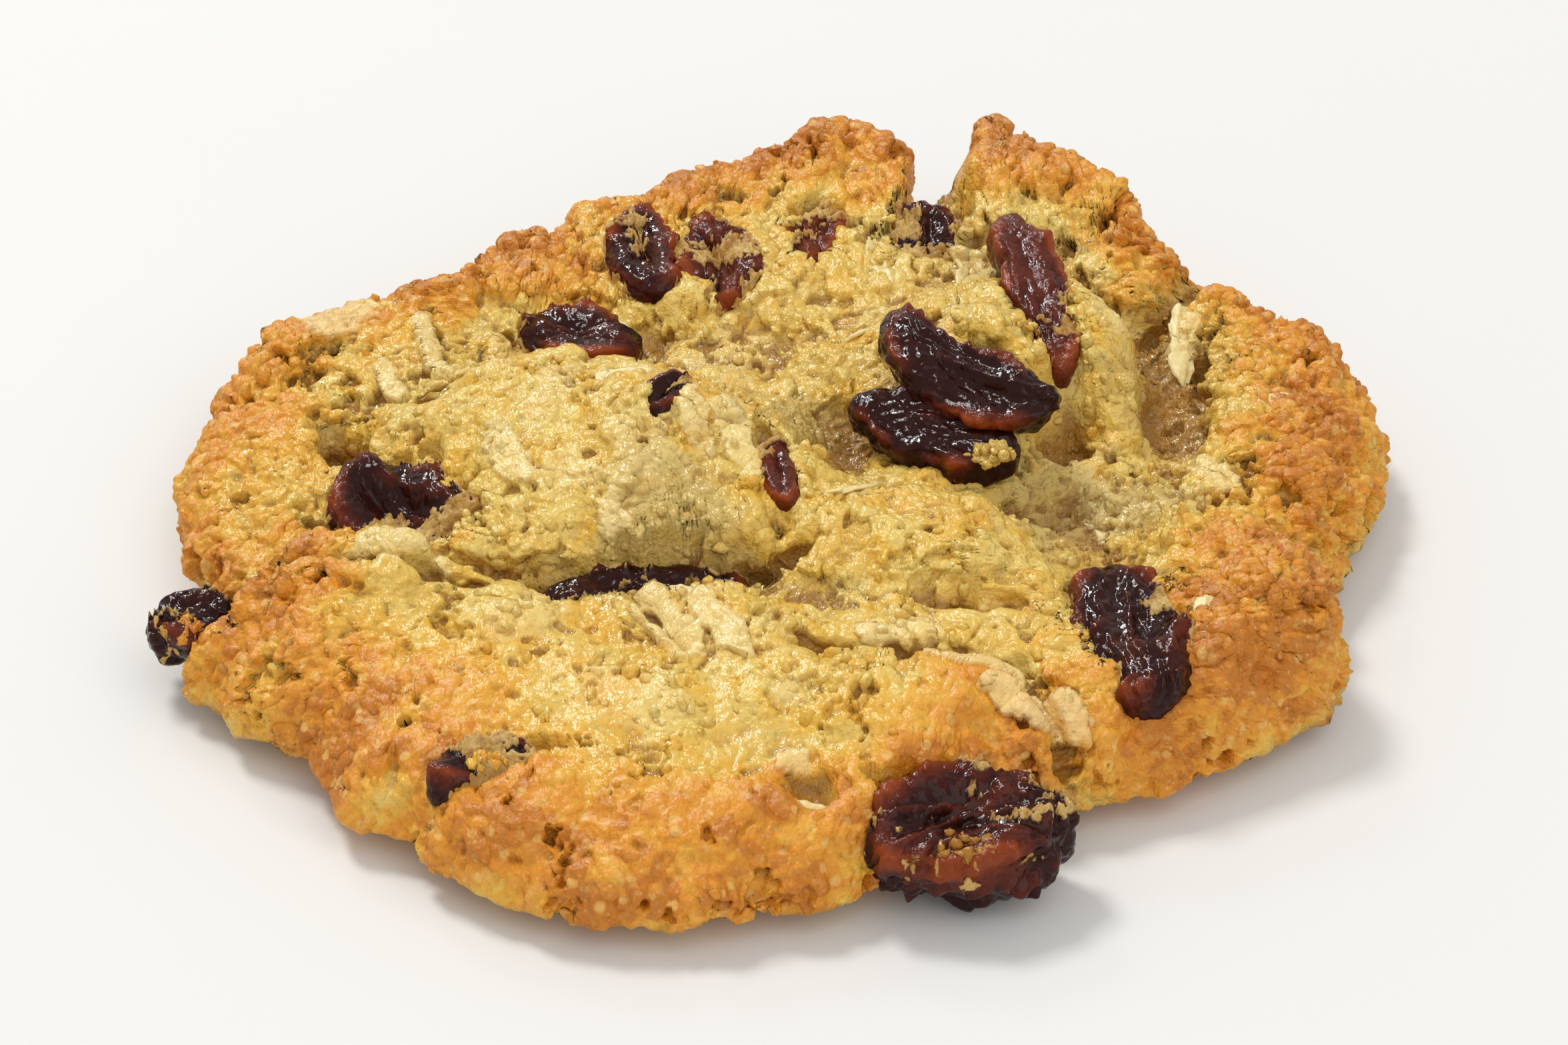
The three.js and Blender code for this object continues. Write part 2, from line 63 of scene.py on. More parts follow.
MOUNDS = (  # middle x, y, half length, half width, turn deg, rise, steepness, lean to the back
    (-15.0, 0.0, 10.0, 10.5, -8, 3.8, 1.7, 0.6), (-3.5, -2.5, 7.5, 9.0, -20, 3.4, 1.6, 0.6),
    (-31.0, -15.0, 10.0, 5.5, 25, 1.4, 1.5, 0), (-25.5, -2.5, 6.5, 4.5, -15, -2.0, 1.6, 0),
    (16.0, 13.0, 7.0, 8.5, 10, 4.2, 1.9, 0), (23.0, 12.5, 2.4, 7.0, 12, 3.2, 2.0, 0.1),
    (8.3, -9.5, 8.2, 5.2, 0, 1.8, 3.2, 0), (21.0, -4.5, 4.8, 9.5, 10, -2.8, 1.4, 0),
    (28.2, 9.0, 3.6, 8.5, -10, -3.4, 1.6, 0), (4.5, 3.5, 3.2, 4.5, 0, -2.4, 1.3, 0),
    (-11.0, 16.8, 10.5, 5.2, -3, -3.0, 1.8, 0), (34.0, -16.5, 8.0, 8.0, 20, 2.2, 2.0, 0),
    (38.0, 12.0, 7.0, 13.0, -5, 0.9, 1.5, 0), (12.7, 36.0, 1.8, 7.0, -5, -3.6, 1.6, 0),
    (-5.0, -17.0, 6.5, 3.6, -12, 1.0, 2.2, 0), (-19.0, -16.0, 6.0, 3.2, -18, 1.1, 2.2, 0),
    (8.0, -26.0, 11.0, 5.0, 0, 1.2, 1.8, 0), (-26.4, -12.2, 5.4, 2.6, -14, 1.6, 2.6, 0),
    (17.4, 8.4, 4.4, 1.7, -48, 2.0, 2.4, 0),
)
CRACKS = (  # from x, y, to x, y, half width, depth
    (-22.0, -10.6, -14.0, -12.2, 1.1, 2.2), (-14.0, -12.2, -4.5, -12.4, 1.7, 2.6),
    (-4.5, -12.4, 2.0, -10.4, 1.2, 2.8), (-39.5, -8.6, -29.0, -12.4, 0.8, 2.0),
    (-29.0, -12.4, -19.0, -14.2, 0.9, 3.0), (2.5, -20.4, 16.5, -21.6, 1.1, 2.6),
    (16.5, -21.6, 20.5, -31.0, 0.8, 2.2), (-9.0, -15.0, -5.5, -21.0, 0.7, 1.5),
    (31.5, 25.5, 25.0, 16.0, 1.2, 3.4), (42.0, -3.5, 33.0, -6.5, 0.8, 1.8),
    (-24.0, 7.5, -17.0, 12.0, 0.8, 1.6), (11.0, -14.4, 16.5, -14.8, 0.7, 1.8),
)
PITS = (  # middle x, y, radius, depth
    (-29.3, 4.6, 1.9, 4.0), (13.2, -14.4, 1.0, 1.6), (-22.6, -13.4, 1.2, 2.6), (4.6, 0.6, 1.0, 2.5),
    (-26.0, -32.0, 1.1, 1.6), (-24.0, -30.0, 0.9, 1.6), (2.8, -33.6, 1.8, 1.8), (35.5, -1.5, 0.9, 1.4),
    (0.8, -8.4, 1.2, 2.4), (20.4, 5.6, 2.2, 4.0),
)
LUMPS = ((7.5, 1.5, 3), (4.0, 0.8, 8))  # cell size, height, seed
RAISINS = {  # middle, (length, width, thickness), (turn, tilt, roll deg)
    "raisin_left_edge": ((-38.6, -12.4, 5.0), (6.2, 4.6, 4.0), (25, 0, 0)),
    "raisin_left": ((-24.7, -4.0, 7.9), (12, 8, 5), (-42, 8, 20)),
    "raisin_back_tall": ((-8.9, 27.2, 8.6), (11, 4.6, 5), (98, 0, 0)),
    "raisin_back_low": ((-13.4, 18.8, 6.8), (9, 5.2, 5), (-14, 0, 0)),
    "raisin_back_middle": ((-3.5, 26.6, 8.0), (11, 5.8, 5), (104, 0, 0)),
    "raisin_back_round": ((3.2, 30.2, 8.0), (7.5, 4.4, 4), (80, 0, 0)),
    "raisin_notch": ((11.4, 30.6, 8.0), (8.5, 6, 4), (95, 0, 0)),
    "raisin_back_right": ((18.9, 16.6, 12.2), (17.5, 4.4, 4.6), (102, -8, 0)),
    "raisin_pair_upper": ((13.5, 5.2, 13.6), (15.2, 5.6, 3.8), (-38, 6, 24)),
    "raisin_pair_lower": ((11.4, 2.0, 10.8), (12.5, 5.2, 3.8), (-26, 4, 20)),
    "raisin_slit": ((0.8, -4.0, 11.0), (7.5, 2.6, 4), (98, 0, 0)),
    "raisin_mound": ((-6.8, 1.2, 14.3), (5.0, 2.6, 3), (65, 0, 0)),
    "raisin_crack": ((-8.0, -12.2, 6.9), (15, 4.6, 4), (2, 0, 0)),
    "raisin_right": ((24.0, -18.2, 8.1), (14.5, 7.2, 4.6), (103, 0, -8)),
    "raisin_front": ((12.8, -34.8, 4.7), (13.6, 8.2, 6.6), (8, 0, 10)),
    "raisin_front_left": ((-18.0, -31.4, 7.0), (7.8, 3.4, 3.8), (12, 0, 0)),
}
CELLS = 560  # cells along one side of the dough's grid
BORDER_RING = 0.955  # relief fades out from this ring of the grid to its border


def bell(gap, width, steep=1.0):
    """1 in the middle, nothing past the width: exp of minus (gap over width)^2 to the steepness."""
    return np.exp(-(((gap / width) ** 2) ** steep))


def angle_gap(angle, at):
    """Degrees from one direction to another, -180 to 180."""
    return (np.degrees(angle) - at + 540) % 360 - 180


def step_up(value, low, high):
    """0 below low, 1 above high, an s-curve between."""
    t = np.clip((value - low) / (high - low), 0, 1)
    return t * t * (3 - 2 * t)


def edge_radius(angle, narrowest=0):
    """Plan radius of the edge: the mean radius plus one bell for every lobe wider than the narrowest."""
    lobes = [lobe for lobe in EDGE_LOBES if lobe[2] > narrowest]
    return MEAN_RADIUS + sum(reach * bell(angle_gap(angle, at), width) for at, reach, width in lobes)


def turned(x, y, at_x, at_y, turn):
    """Plan distances along and across a direction, from a place; the direction is in degrees."""
    c, s = np.cos(np.radians(turn)), np.sin(np.radians(turn))
    return (x - at_x) * c + (y - at_y) * s, (y - at_y) * c - (x - at_x) * s


def crack_gap(x, y, crack):
    """Plan distance to a crack's line."""
    x0, y0, x1, y1 = crack[:4]
    share = ((x - x0) * (x1 - x0) + (y - y0) * (y1 - y0)) / ((x1 - x0) ** 2 + (y1 - y0) ** 2)
    t = np.clip(share, 0, 1)
    return np.hypot(x - x0 - t * (x1 - x0), y - y0 - t * (y1 - y0))


def crust_height(x, y):
    """Height of the crust: a low dome, the rim's rises, then mounds, less the cracks and the pits."""
    angle = np.arctan2(y, x)
    outward = np.clip(np.hypot(x, y) / edge_radius(angle), 0, 1)
    height = CRUST_MIDDLE - (CRUST_MIDDLE - CRUST_EDGE) * outward**4
    rises = sum(rise * bell(angle_gap(angle, at), width) for at, width, rise in RIM_RISES)
    height = height + rises * step_up(outward, RISE_FROM, RISE_TO)
    for at_x, at_y, long, wide, turn, rise, steep, lean in MOUNDS:
        along, across = turned(x, y, at_x, at_y, turn)
        along, across = along / long, across / wide
        slope = 1 + lean * np.clip(across, -1.2, 1.2)
        height = height + rise * slope * bell(np.hypot(along, across), 1, steep)
    for crack in CRACKS:
        height = height - CRACK_DIP * crack[5] * bell(crack_gap(x, y, crack), crack[4])
    for at_x, at_y, radius, deep in PITS:
        height = height - deep * bell(np.hypot(x - at_x, y - at_y), radius, 1.5)
    return height


def square_to_disc(a, b):
    """A square -1..1 bent into a disc: the ring is the larger of |a| and |b|, the angle runs round it."""
    ring = np.maximum(np.abs(a), np.abs(b))
    wide = np.abs(a) >= np.abs(b)
    over = np.where(wide, np.where(a == 0, 1, a), np.where(b == 0, 1, b))
    angle = np.where(wide, np.pi / 4 * b / over, np.pi / 2 - np.pi / 4 * a / over)
    return ring, angle + np.where(wide & (a < 0) | ~wide & (b < 0), np.pi, 0)


def smooth_skin(a, b):
    """The plain skin: flat top, quarter-round shoulder down to the lip, then a recess running in below it."""
    ring, angle = square_to_disc(a, b)
    wide = edge_radius(angle, WIDE_LOBE)
    radius = wide + (edge_radius(angle) - wide) * step_up(ring, INNER_RING, FLAT_SHARE)
    back, front = (bell(angle_gap(angle, at), half, 2) for at, half in (BACK_STRETCH, FRONT_STRETCH))
    shoulder = ROLL_TOP - (ROLL_TOP - ROLL_TOP_BACK) * back
    recess = RECESS + (RECESS_FRONT - RECESS) * front
    down = np.pi / 2 * np.clip((ring - FLAT_SHARE) / (WAIST_SHARE - FLAT_SHARE), 0, 1)
    under = np.clip((ring - WAIST_SHARE) / (1 - WAIST_SHARE), 0, 1)
    flat = ring / FLAT_SHARE * (radius - shoulder)
    reach = np.where(ring <= FLAT_SHARE, flat, radius - shoulder + shoulder * np.sin(down))
    reach = np.where(ring > WAIST_SHARE, radius - recess * under**0.8, reach)
    lift = np.where(ring > WAIST_SHARE, -(under**1.25), np.cos(down))
    x, y = reach * np.cos(angle), reach * np.sin(angle)
    z = np.where(lift >= 0, WAIST + (crust_height(x, y) - WAIST) * lift, WAIST + WAIST * lift)
    return np.stack([x, y, np.where(ring >= 1, 0, z)], -1)


def grid_normals(points):
    """Unit normals of a grid of points, from the differences along both ways of the grid."""
    normal = np.cross(np.gradient(points, axis=0), np.gradient(points, axis=1))
    return normal / (np.linalg.norm(normal, axis=-1, keepdims=True) + 1e-9)


def lumps(points, size, seed):
    """Rounded bumps, one a cell, meeting in creases: 1 less the squared distance to the nearest cell's
    spot. Second, for each place, the tone 0..1 of the bump that it lies on."""
    place = points / size
    cell = np.floor(place)
    nearest, tone = np.full(points.shape[:-1], 9.0), np.zeros(points.shape[:-1])
    for i in (-1, 0, 1):
        for j in (-1, 0, 1):
            for k in (-1, 0, 1):
                corner = cell + (i, j, k)
                key = corner @ (12.9898, 78.233, 45.164)
                spots = [np.sin(key + (seed + n) * 37.719) * 43758.5453 % 1.0 for n in range(3)]
                gap = ((place - corner - np.stack(spots, -1)) ** 2).sum(-1)
                tone = np.where(gap < nearest, (spots[0] * 7.31 + spots[1] * 3.77) % 1.0, tone)
                nearest = np.minimum(nearest, gap)
    return 1 - nearest, tone


def bumps(points, size, seed):
    """The rounded bumps' heights alone."""
    return lumps(points, size, seed)[0]


def waves(points, size, seed):
    """Smooth noise about -1..1: random slopes at the corners of a lattice, blended between them."""
    rng = np.random.default_rng(seed)
    order = rng.permutation(256)
    slopes = rng.normal(size=(256, 3))
    place = points / size + 50.0
    cell = np.floor(place).astype(int)
    inside = place - cell
    ease = inside**3 * (inside * (inside * 6 - 15) + 10)
    total = 0.0
    for i in (0, 1):
        for j in (0, 1):
            for k in (0, 1):
                key = order[(cell[..., 0] + i) & 255]
                key = order[(key + cell[..., 1] + j) & 255]
                key = order[(key + cell[..., 2] + k) & 255]
                rise = (slopes[key] * (inside - (i, j, k))).sum(-1)
                near = [ease[..., n] if on else 1 - ease[..., n] for n, on in enumerate((i, j, k))]
                total = total + rise * near[0] * near[1] * near[2]
    return total


PLACED_FLAKES = (  # plan place, turn deg, length, width, lean deg, lift
    ((-23.8, 15.3), -76, 9.4, 1.5, 25, 0.4), ((-26.4, 11.2), -75, 6.6, 1.5, 20, 0.5),
    ((-30.0, 19.0), 30, 6.4, 3.4, 10, 0.3), ((-2.1, -1.8), -72, 7.4, 2.4, 20, 0.4),
    ((-5.0, -1.0), -68, 6.0, 1.8, 25, 0.3), ((8.8, -19.2), 10, 5.4, 2.8, 25, 0.6),
    ((13.9, -22.4), -14, 7.0, 3.2, 12, 0.5), ((14.6, 23.0), 95, 9.0, 2.6, 62, 2.2),
    ((29.4, 17.0), 78, 6.0, 2.0, 30, 0.4), ((30.6, -0.4), 115, 4.8, 2.2, 20, 0.4),
    ((-6.6, -18.6), -64, 8.0, 2.8, 10, 0.5), ((-3.0, -19.2), -60, 7.6, 2.2, 16, 0.5),
    ((-24.6, -12.6), -14, 7.4, 3.0, 8, 0.4), ((17.6, -26.0), -12, 7.4, 2.8, 14, 0.5),
    ((-17.6, -2.6), -66, 6.4, 2.2, 20, 0.4), ((-10.1, -8.8), -70, 5.0, 1.6, 12, 0.4),
    ((1.8, -31.4), 10, 2.6, 1.6, 18, 0.6),
)

# Relief under a millimetre or two. Oat flakes baked into the crust lie over one another like scales,
# worked out on a plan map, with crumbs between them, and fade out towards the rim.
MAP_STEP, MAP_HALF = 0.15, 47.0
BURIED_FLAKES = 420
PEBBLE, NUB, GRIT, PORE = 3.1, 1.5, 0.8, 1.5  # sizes of the crust's three bumps, and how far apart pores are
MID_BUMP = 0.6  # mean height of bumps, taken off them so that they leave the skin where it is
SCALE_HIGH, OAT_HIGH, OAT_STREAK = 0.3, 0.30, 0.22
CREVICE_DEEP, PORE_DEEP, BARE_DEEP = 0.22, 0.24, 0.7
SLOT_SHARE = 0.45  # share of a crack's depth that is its torn slot
TEARS = ((1.0, 5.2, 11), (0.6, 2.4, 12), (0.36, 1.1, 13), (0.2, 0.5, 14))  # share, size, seed of the noise
ROOM_DROP, ROOM_EDGE, ROOM_SLOPE = 0.15, 0.70, 3.2  # how the skin makes room round a raisin
FRONT_FACE, RIGHT_FACE = (268, 55), (355, 42)  # smoother front, browner right: middle, half width deg
PROUD_CELLS, FINE_CELLS, BROAD_CELLS = 9, 4, 22  # cells of softening that show what stands out
STRETCHED = 6.5  # relief fades where a cell's two sides pass this many times MEAN_RADIUS / CELLS


def scale_map():
    """Height and paleness of baked-in flakes: tilted ovals, each new one lying on those below."""
    rng = np.random.default_rng(21)
    side = int(2 * MAP_HALF / MAP_STEP) + 1
    high, pale = np.full((side, side), -0.8), np.zeros((side, side))
    line = np.arange(side) * MAP_STEP - MAP_HALF
    for _ in range(BURIED_FLAKES):
        at = rng.uniform(-44, 44, 2)
        long, wide = rng.uniform(2.0, 4.4), rng.uniform(1.4, 3.0)
        turn, tilt = rng.uniform(0, np.pi), rng.normal(0, 0.15, 2)
        lift, tone = rng.uniform(-0.6, 0.35), rng.uniform(0, 1)
        ends = np.clip(((at[:, None] + (-5, 5)) + MAP_HALF) / MAP_STEP, 0, side - 1).astype(int)
        box = slice(*ends[0]), slice(*ends[1])
        dx, dy = np.meshgrid(line[box[0]] - at[0], line[box[1]] - at[1], indexing="ij")
        along, across = dx * np.cos(turn) + dy * np.sin(turn), dy * np.cos(turn) - dx * np.sin(turn)
        round_it = np.arctan2(across, along)
        wobble = 0.13 * np.sin(3 * round_it + 9 * tone) + 0.08 * np.sin(7 * round_it + 40 * tone)
        out = np.hypot(along / long, across / wide) + wobble
        crown, drop = 0.3 * (1 - np.clip(out, 0, 1) ** 2), 8.0 * np.clip(out - 1, 0, 9)
        top = lift + dx * tilt[0] + dy * tilt[1] + crown - drop
        over = step_up(top - high[box], -0.05, 0.12)
        pale[box] += (tone * (out < 1.05) - pale[box]) * over
        high[box] = np.maximum(high[box], top)
    return high, pale


def on_map(image, x, y):
    """A map's value at any place, blended between its four nearest spots."""
    u = np.clip((x + MAP_HALF) / MAP_STEP, 0, image.shape[0] - 2)
    v = np.clip((y + MAP_HALF) / MAP_STEP, 0, image.shape[1] - 2)
    i, j = u.astype(int), v.astype(int)
    p, q = u - i, v - j
    low, high = (image[i, k] * (1 - p) + image[i + 1, k] * p for k in (j, j + 1))
    return low * (1 - q) + high * q


def baked_flakes(x, y):
    """Where the large oat flakes lie in the crust: cover 0..1 with torn edges, and streaks along them."""
    cover, streak = np.zeros(x.shape), np.full(x.shape, 0.5)
    flat = np.stack([x, y, 0 * x], -1)
    torn = 0.28 * waves(flat, 1.7, 51) + 0.16 * waves(flat, 0.7, 52)
    for at, turn, long, wide, *_ in PLACED_FLAKES:
        along, across = turned(x, y, *at, turn)
        out = (np.abs(2 * along / long) ** 3 + np.abs(2 * across / wide) ** 3) ** (1 / 3) + torn
        here = 1 - step_up(out, 0.90, 1.0)
        lines = waves(np.stack([0.15 * along, across + 0.1 * np.sin(along), 0 * x + turn], -1), 0.7, 53)
        streak = np.where(here > cover, 0.5 + 0.5 * lines, streak)
        cover = np.maximum(cover, here)
    return cover, streak


def turn_matrix(turn, tilt, roll):
    """Rotation that rolls about x, then tilts about y, then turns about z, in degrees."""
    a, b, c = np.radians((turn, tilt, roll))
    about_x = np.array([[1, 0, 0], [0, np.cos(c), -np.sin(c)], [0, np.sin(c), np.cos(c)]])
    about_y = np.array([[np.cos(b), 0, np.sin(b)], [0, 1, 0], [-np.sin(b), 0, np.cos(b)]])
    about_z = np.array([[np.cos(a), -np.sin(a), 0], [np.sin(a), np.cos(a), 0], [0, 0, 1]])
    return about_z @ about_y @ about_x


def make_room(points):
    """Skin lowered where a raisin lies, so that the raisin's upper part stands clear of a ragged lip."""
    x, y, z = points[..., 0], points[..., 1], points[..., 2]
    ragged = 0.36 * waves(points * (1, 1, 0), 2.6, 31) + 0.20 * waves(points * (1, 1, 0), 1.0, 32)
    for middle, size, turns in RAISINS.values():
        along, across = turned(x, y, *middle[:2], turns[0])
        out = np.hypot(along / (size[0] / 2), across / (size[1] / 2)) + ragged
        ceiling = middle[2] - ROOM_DROP * size[2] + ROOM_SLOPE * np.clip(out - ROOM_EDGE, 0, 9) * size[1] / 2
        z = np.where(out < 2, np.minimum(z, np.maximum(ceiling, 0.4)), z)
    return np.stack([x, y, z], -1)


def soften(values, cells):
    """A grid of values softened by a bell of so many cells, through its spectrum."""
    turns = np.fft.fftfreq(values.shape[0])
    fade = np.exp(-2 * (np.pi * cells) ** 2 * (turns[:, None] ** 2 + turns[None, :] ** 2))
    return np.fft.ifft2(np.fft.fft2(values) * fade).real


def crust_relief(points, warp, coarse, outward, front):
    """Height of whole crust and of bare crumb, in mm, and the tone of the bumps: three sizes of bump, the
    smaller ones higher where the crust is coarse, less thin creases between patches of crust."""
    pebble, big_tone = lumps(points + 1.1 * warp, PEBBLE, 22)
    nub, small_tone = lumps(points + 0.6 * warp, NUB, 27)
    grit, grit_tone = lumps(points + 0.3 * warp, GRIT, 24)
    pebble, nub, grit = pebble - MID_BUMP, nub - MID_BUMP, grit - MID_BUMP
    crust = 0.34 * waves(points, 3.6, 21) + 0.42 * pebble + 0.18 * nub + 0.08 * waves(points, 0.8, 23)
    crumb = 0.4 * nub + 0.24 * grit + 0.1 * waves(points, 0.5, 25)
    grainy = (0.4 + 0.25 * step_up(outward, 0.7, 0.9)) * grit * (0.4 + small_tone)
    crust = crust + coarse * (0.3 * nub + grainy)
    crease = bell(waves(points + 0.4 * warp, 2.0, 56), 0.07)
    crust = crust - 0.3 * (0.3 + 0.7 * coarse) * crease * (1 - 0.5 * front)
    return crust, crumb, 0.5 * big_tone + 0.5 * small_tone + coarse * 0.4 * (grit_tone - 0.5)


def openings(points, warp):
    """Thin crevices 0..1 where noise crosses nothing, the cracks' torn slots in mm, and round pores 0..1."""
    bent = points + 0.5 * waves(points, 1.4, 20)[..., None]
    crevice = bell(waves(bent, 4.6, 17), 0.045) * step_up(waves(points, 5.5, 18), -0.1, 0.25)
    torn_x, torn_y = (points[..., k] + warp[..., k] + 1.5 * waves(points, 5.5, 58 + k) for k in (0, 1))
    slot = sum(crack[5] * bell(crack_gap(torn_x, torn_y, crack), 0.62 * crack[4], 2) for crack in CRACKS)
    slot = slot * (0.25 + 0.75 * step_up(waves(points, 3.5, 60), -0.45, 0.15))
    pores = step_up(bumps(points, PORE, 16) + 0.15 * waves(points, 0.7, 18), 0.90, 1.0)
    return crevice, slot, pores * step_up(waves(points, 6, 19), -0.3, 0.1)


def dough_skin():
    """The whole skin and what its colour needs: the smooth skin, lumps, room for the raisins, then crust,
    scales, flakes and openings along its normals, calmed where the grid is stretched on steep banks."""
    a, b = np.meshgrid(np.linspace(-1, 1, CELLS + 1), np.linspace(-1, 1, CELLS + 1), indexing="ij")
    ring = np.maximum(np.abs(a), np.abs(b))
    points = smooth_skin(a, b)
    normal = grid_normals(points)
    fade = 1 - step_up(ring, BORDER_RING, 1.0)
    for size, high, seed in LUMPS:
        swell = high * (bumps(points, size, seed) - 0.65) * fade * (1.2 - 0.5 * ring)
        points = points + normal * swell[..., None]
    x, y = points[..., 0], points[..., 1]
    angle = np.arctan2(y, x)
    outward = np.where(ring > WAIST_SHARE, 1.0, np.hypot(x, y) / edge_radius(angle))
    rough = 1 - step_up(outward + 0.10 * waves(points, 9, 5), 0.70, 0.97)
    points = make_room(points)
    normal = grid_normals(points)
    upward = np.clip(normal[..., 2], 0, 1)
    long_cell = sum(np.linalg.norm(np.gradient(points, axis=k), axis=-1) for k in (0, 1))
    calm = np.clip(STRETCHED * MEAN_RADIUS / CELLS / long_cell, 0.12, 1)
    front = bell(angle_gap(angle, FRONT_FACE[0]), FRONT_FACE[1], 2) * step_up(outward, 0.35, 0.6)
    lively = (0.66 + 0.70 * step_up(outward, 0.6, 0.85)) * (1 - 0.2 * front)
    right_side = bell(np.hypot(x - 34, y - 6) / 22, 1, 2)
    coarse = step_up(waves(points, 12, 55) + 1.1 * right_side - 1.2 * front, -0.2, 0.5)
    coarse = np.maximum(coarse, 0.6 - 0.2 * front)
    warp = [waves(points, 2.4, seed) + 0.5 * waves(points, 1.0, seed + 3) for seed in (31, 32, 33)]
    warp = np.stack(warp, -1)
    crust, crumb, tone = crust_relief(points, warp, coarse, outward, front)
    crevice, slot, pores = openings(points, warp)
    scales, pale = scale_map()
    oat, streak = baked_flakes(x + 0.3 * waves(points, 1.2, 54), y)
    torn = sum(share * waves(points, size, seed) for share, size, seed in TEARS)
    missing = (1 - step_up(torn + 0.42 * (1 - rough), -0.34, -0.24)) * (1 - oat)
    relief = SCALE_HIGH * on_map(scales, x, y) * rough * (1 - 0.6 * front) * upward**2
    relief = relief + lively * ((1 - 0.6 * oat) * crust + missing * (crumb - BARE_DEEP))
    relief = relief + oat * (OAT_HIGH + OAT_STREAK * streak) * upward - SLOT_SHARE * slot * upward**2
    relief = relief - CREVICE_DEEP * crevice * (0.3 + 0.7 * rough) - PORE_DEEP * pores
    points = points + normal * (relief * fade * calm)[..., None]
    normal = grid_normals(points)
    proud = points[..., 2] - soften(points[..., 2], PROUD_CELLS)
    points[..., :2] += normal[..., :2] * (0.3 * np.clip(proud, -0.5, 0.7) * fade * calm)[..., None]
    points[..., 2] = np.where(ring >= 1, 0, np.maximum(points[..., 2], 0.03))
    level = step_up(upward, 0.4, 0.75)
    return points, {
        "rough": rough, "missing": missing, "tone": tone, "outward": outward, "front": front, "calm": calm,
        "oat": oat * (0.55 + 0.9 * streak) * level,
        "pale": on_map(pale, x, y) * rough * level,
        "grit": 1 - 0.4 * front,
        # crevice and fine feed only the painted shade in hollows; broad feeds that shade and the browning.
        "crevice": calm * (0.55 * crevice + 0.4 * pores + 0.45 * slot),
        "fine": calm * upward * (points[..., 2] - soften(points[..., 2], FINE_CELLS)),
        "broad": calm * (points[..., 2] - soften(points[..., 2], BROAD_CELLS)),
    }


def add_object(name, data):
    """An object with a mesh, a lamp or a camera, linked to the scene."""
    holder = bpy.data.objects.new(name, data)
    bpy.context.scene.collection.objects.link(holder)
    return holder


def add_piece(name, places, faces, values, material):
    """A smooth mesh object from places in millimetres, its faces and the numbers kept on its points."""
    mesh = bpy.data.meshes.new(name)
    mesh.from_pydata((places.reshape(-1, 3) + (*SHIFT, 0)) / 1000, [], faces)
    for key, value in values.items():
        kept = value.ravel().astype(np.float32)
        mesh.attributes.new(key, "FLOAT", "POINT").data.foreach_set("value", kept)
    mesh.shade_smooth()
    mesh.materials.append(material)
    return add_object(name, mesh)


def add_grid(name, points, values, material, close=False):
    """A piece from a grid of points; close joins the last row to the first."""
    number = np.arange(points[..., 0].size).reshape(points.shape[:2])
    if close:
        number = np.vstack([number, number[:1]])
    quads = np.stack([number[:-1, :-1], number[1:, :-1], number[1:, 1:], number[:-1, 1:]], -1)
    return add_piece(name, points, quads.reshape(-1, 4), values, material)


skin, looks = dough_skin()
skin_normals = grid_normals(skin)


class Value:
    """A shader socket that is added to, multiplied and so on like a number."""

    def __init__(self, tree, socket):
        self.tree, self.socket = tree, socket

    def math(self, operation, *others):
        node = self.tree.nodes.new("ShaderNodeMath")
        node.operation = operation
        for slot, value in zip(node.inputs, (self, *others)):
            plug(self.tree, slot, value)
        return Value(self.tree, node.outputs[0])

    def __add__(self, other):
        return self.math("ADD", other)

    def __sub__(self, other):
        return self.math("SUBTRACT", other)

    def __mul__(self, other):
        return self.math("MULTIPLY", other)

    def __rsub__(self, other):
        return self * -1.0 + other

    __radd__, __rmul__ = __add__, __mul__

    def clamp(self, low=0.0, high=1.0):
        return self.math("MAXIMUM", low).math("MINIMUM", high)


def plug(tree, slot, value):
    """Feed a socket with another socket or a constant."""
    if isinstance(value, Value):
        tree.links.new(value.socket, slot)
    else:
        slot.default_value = value


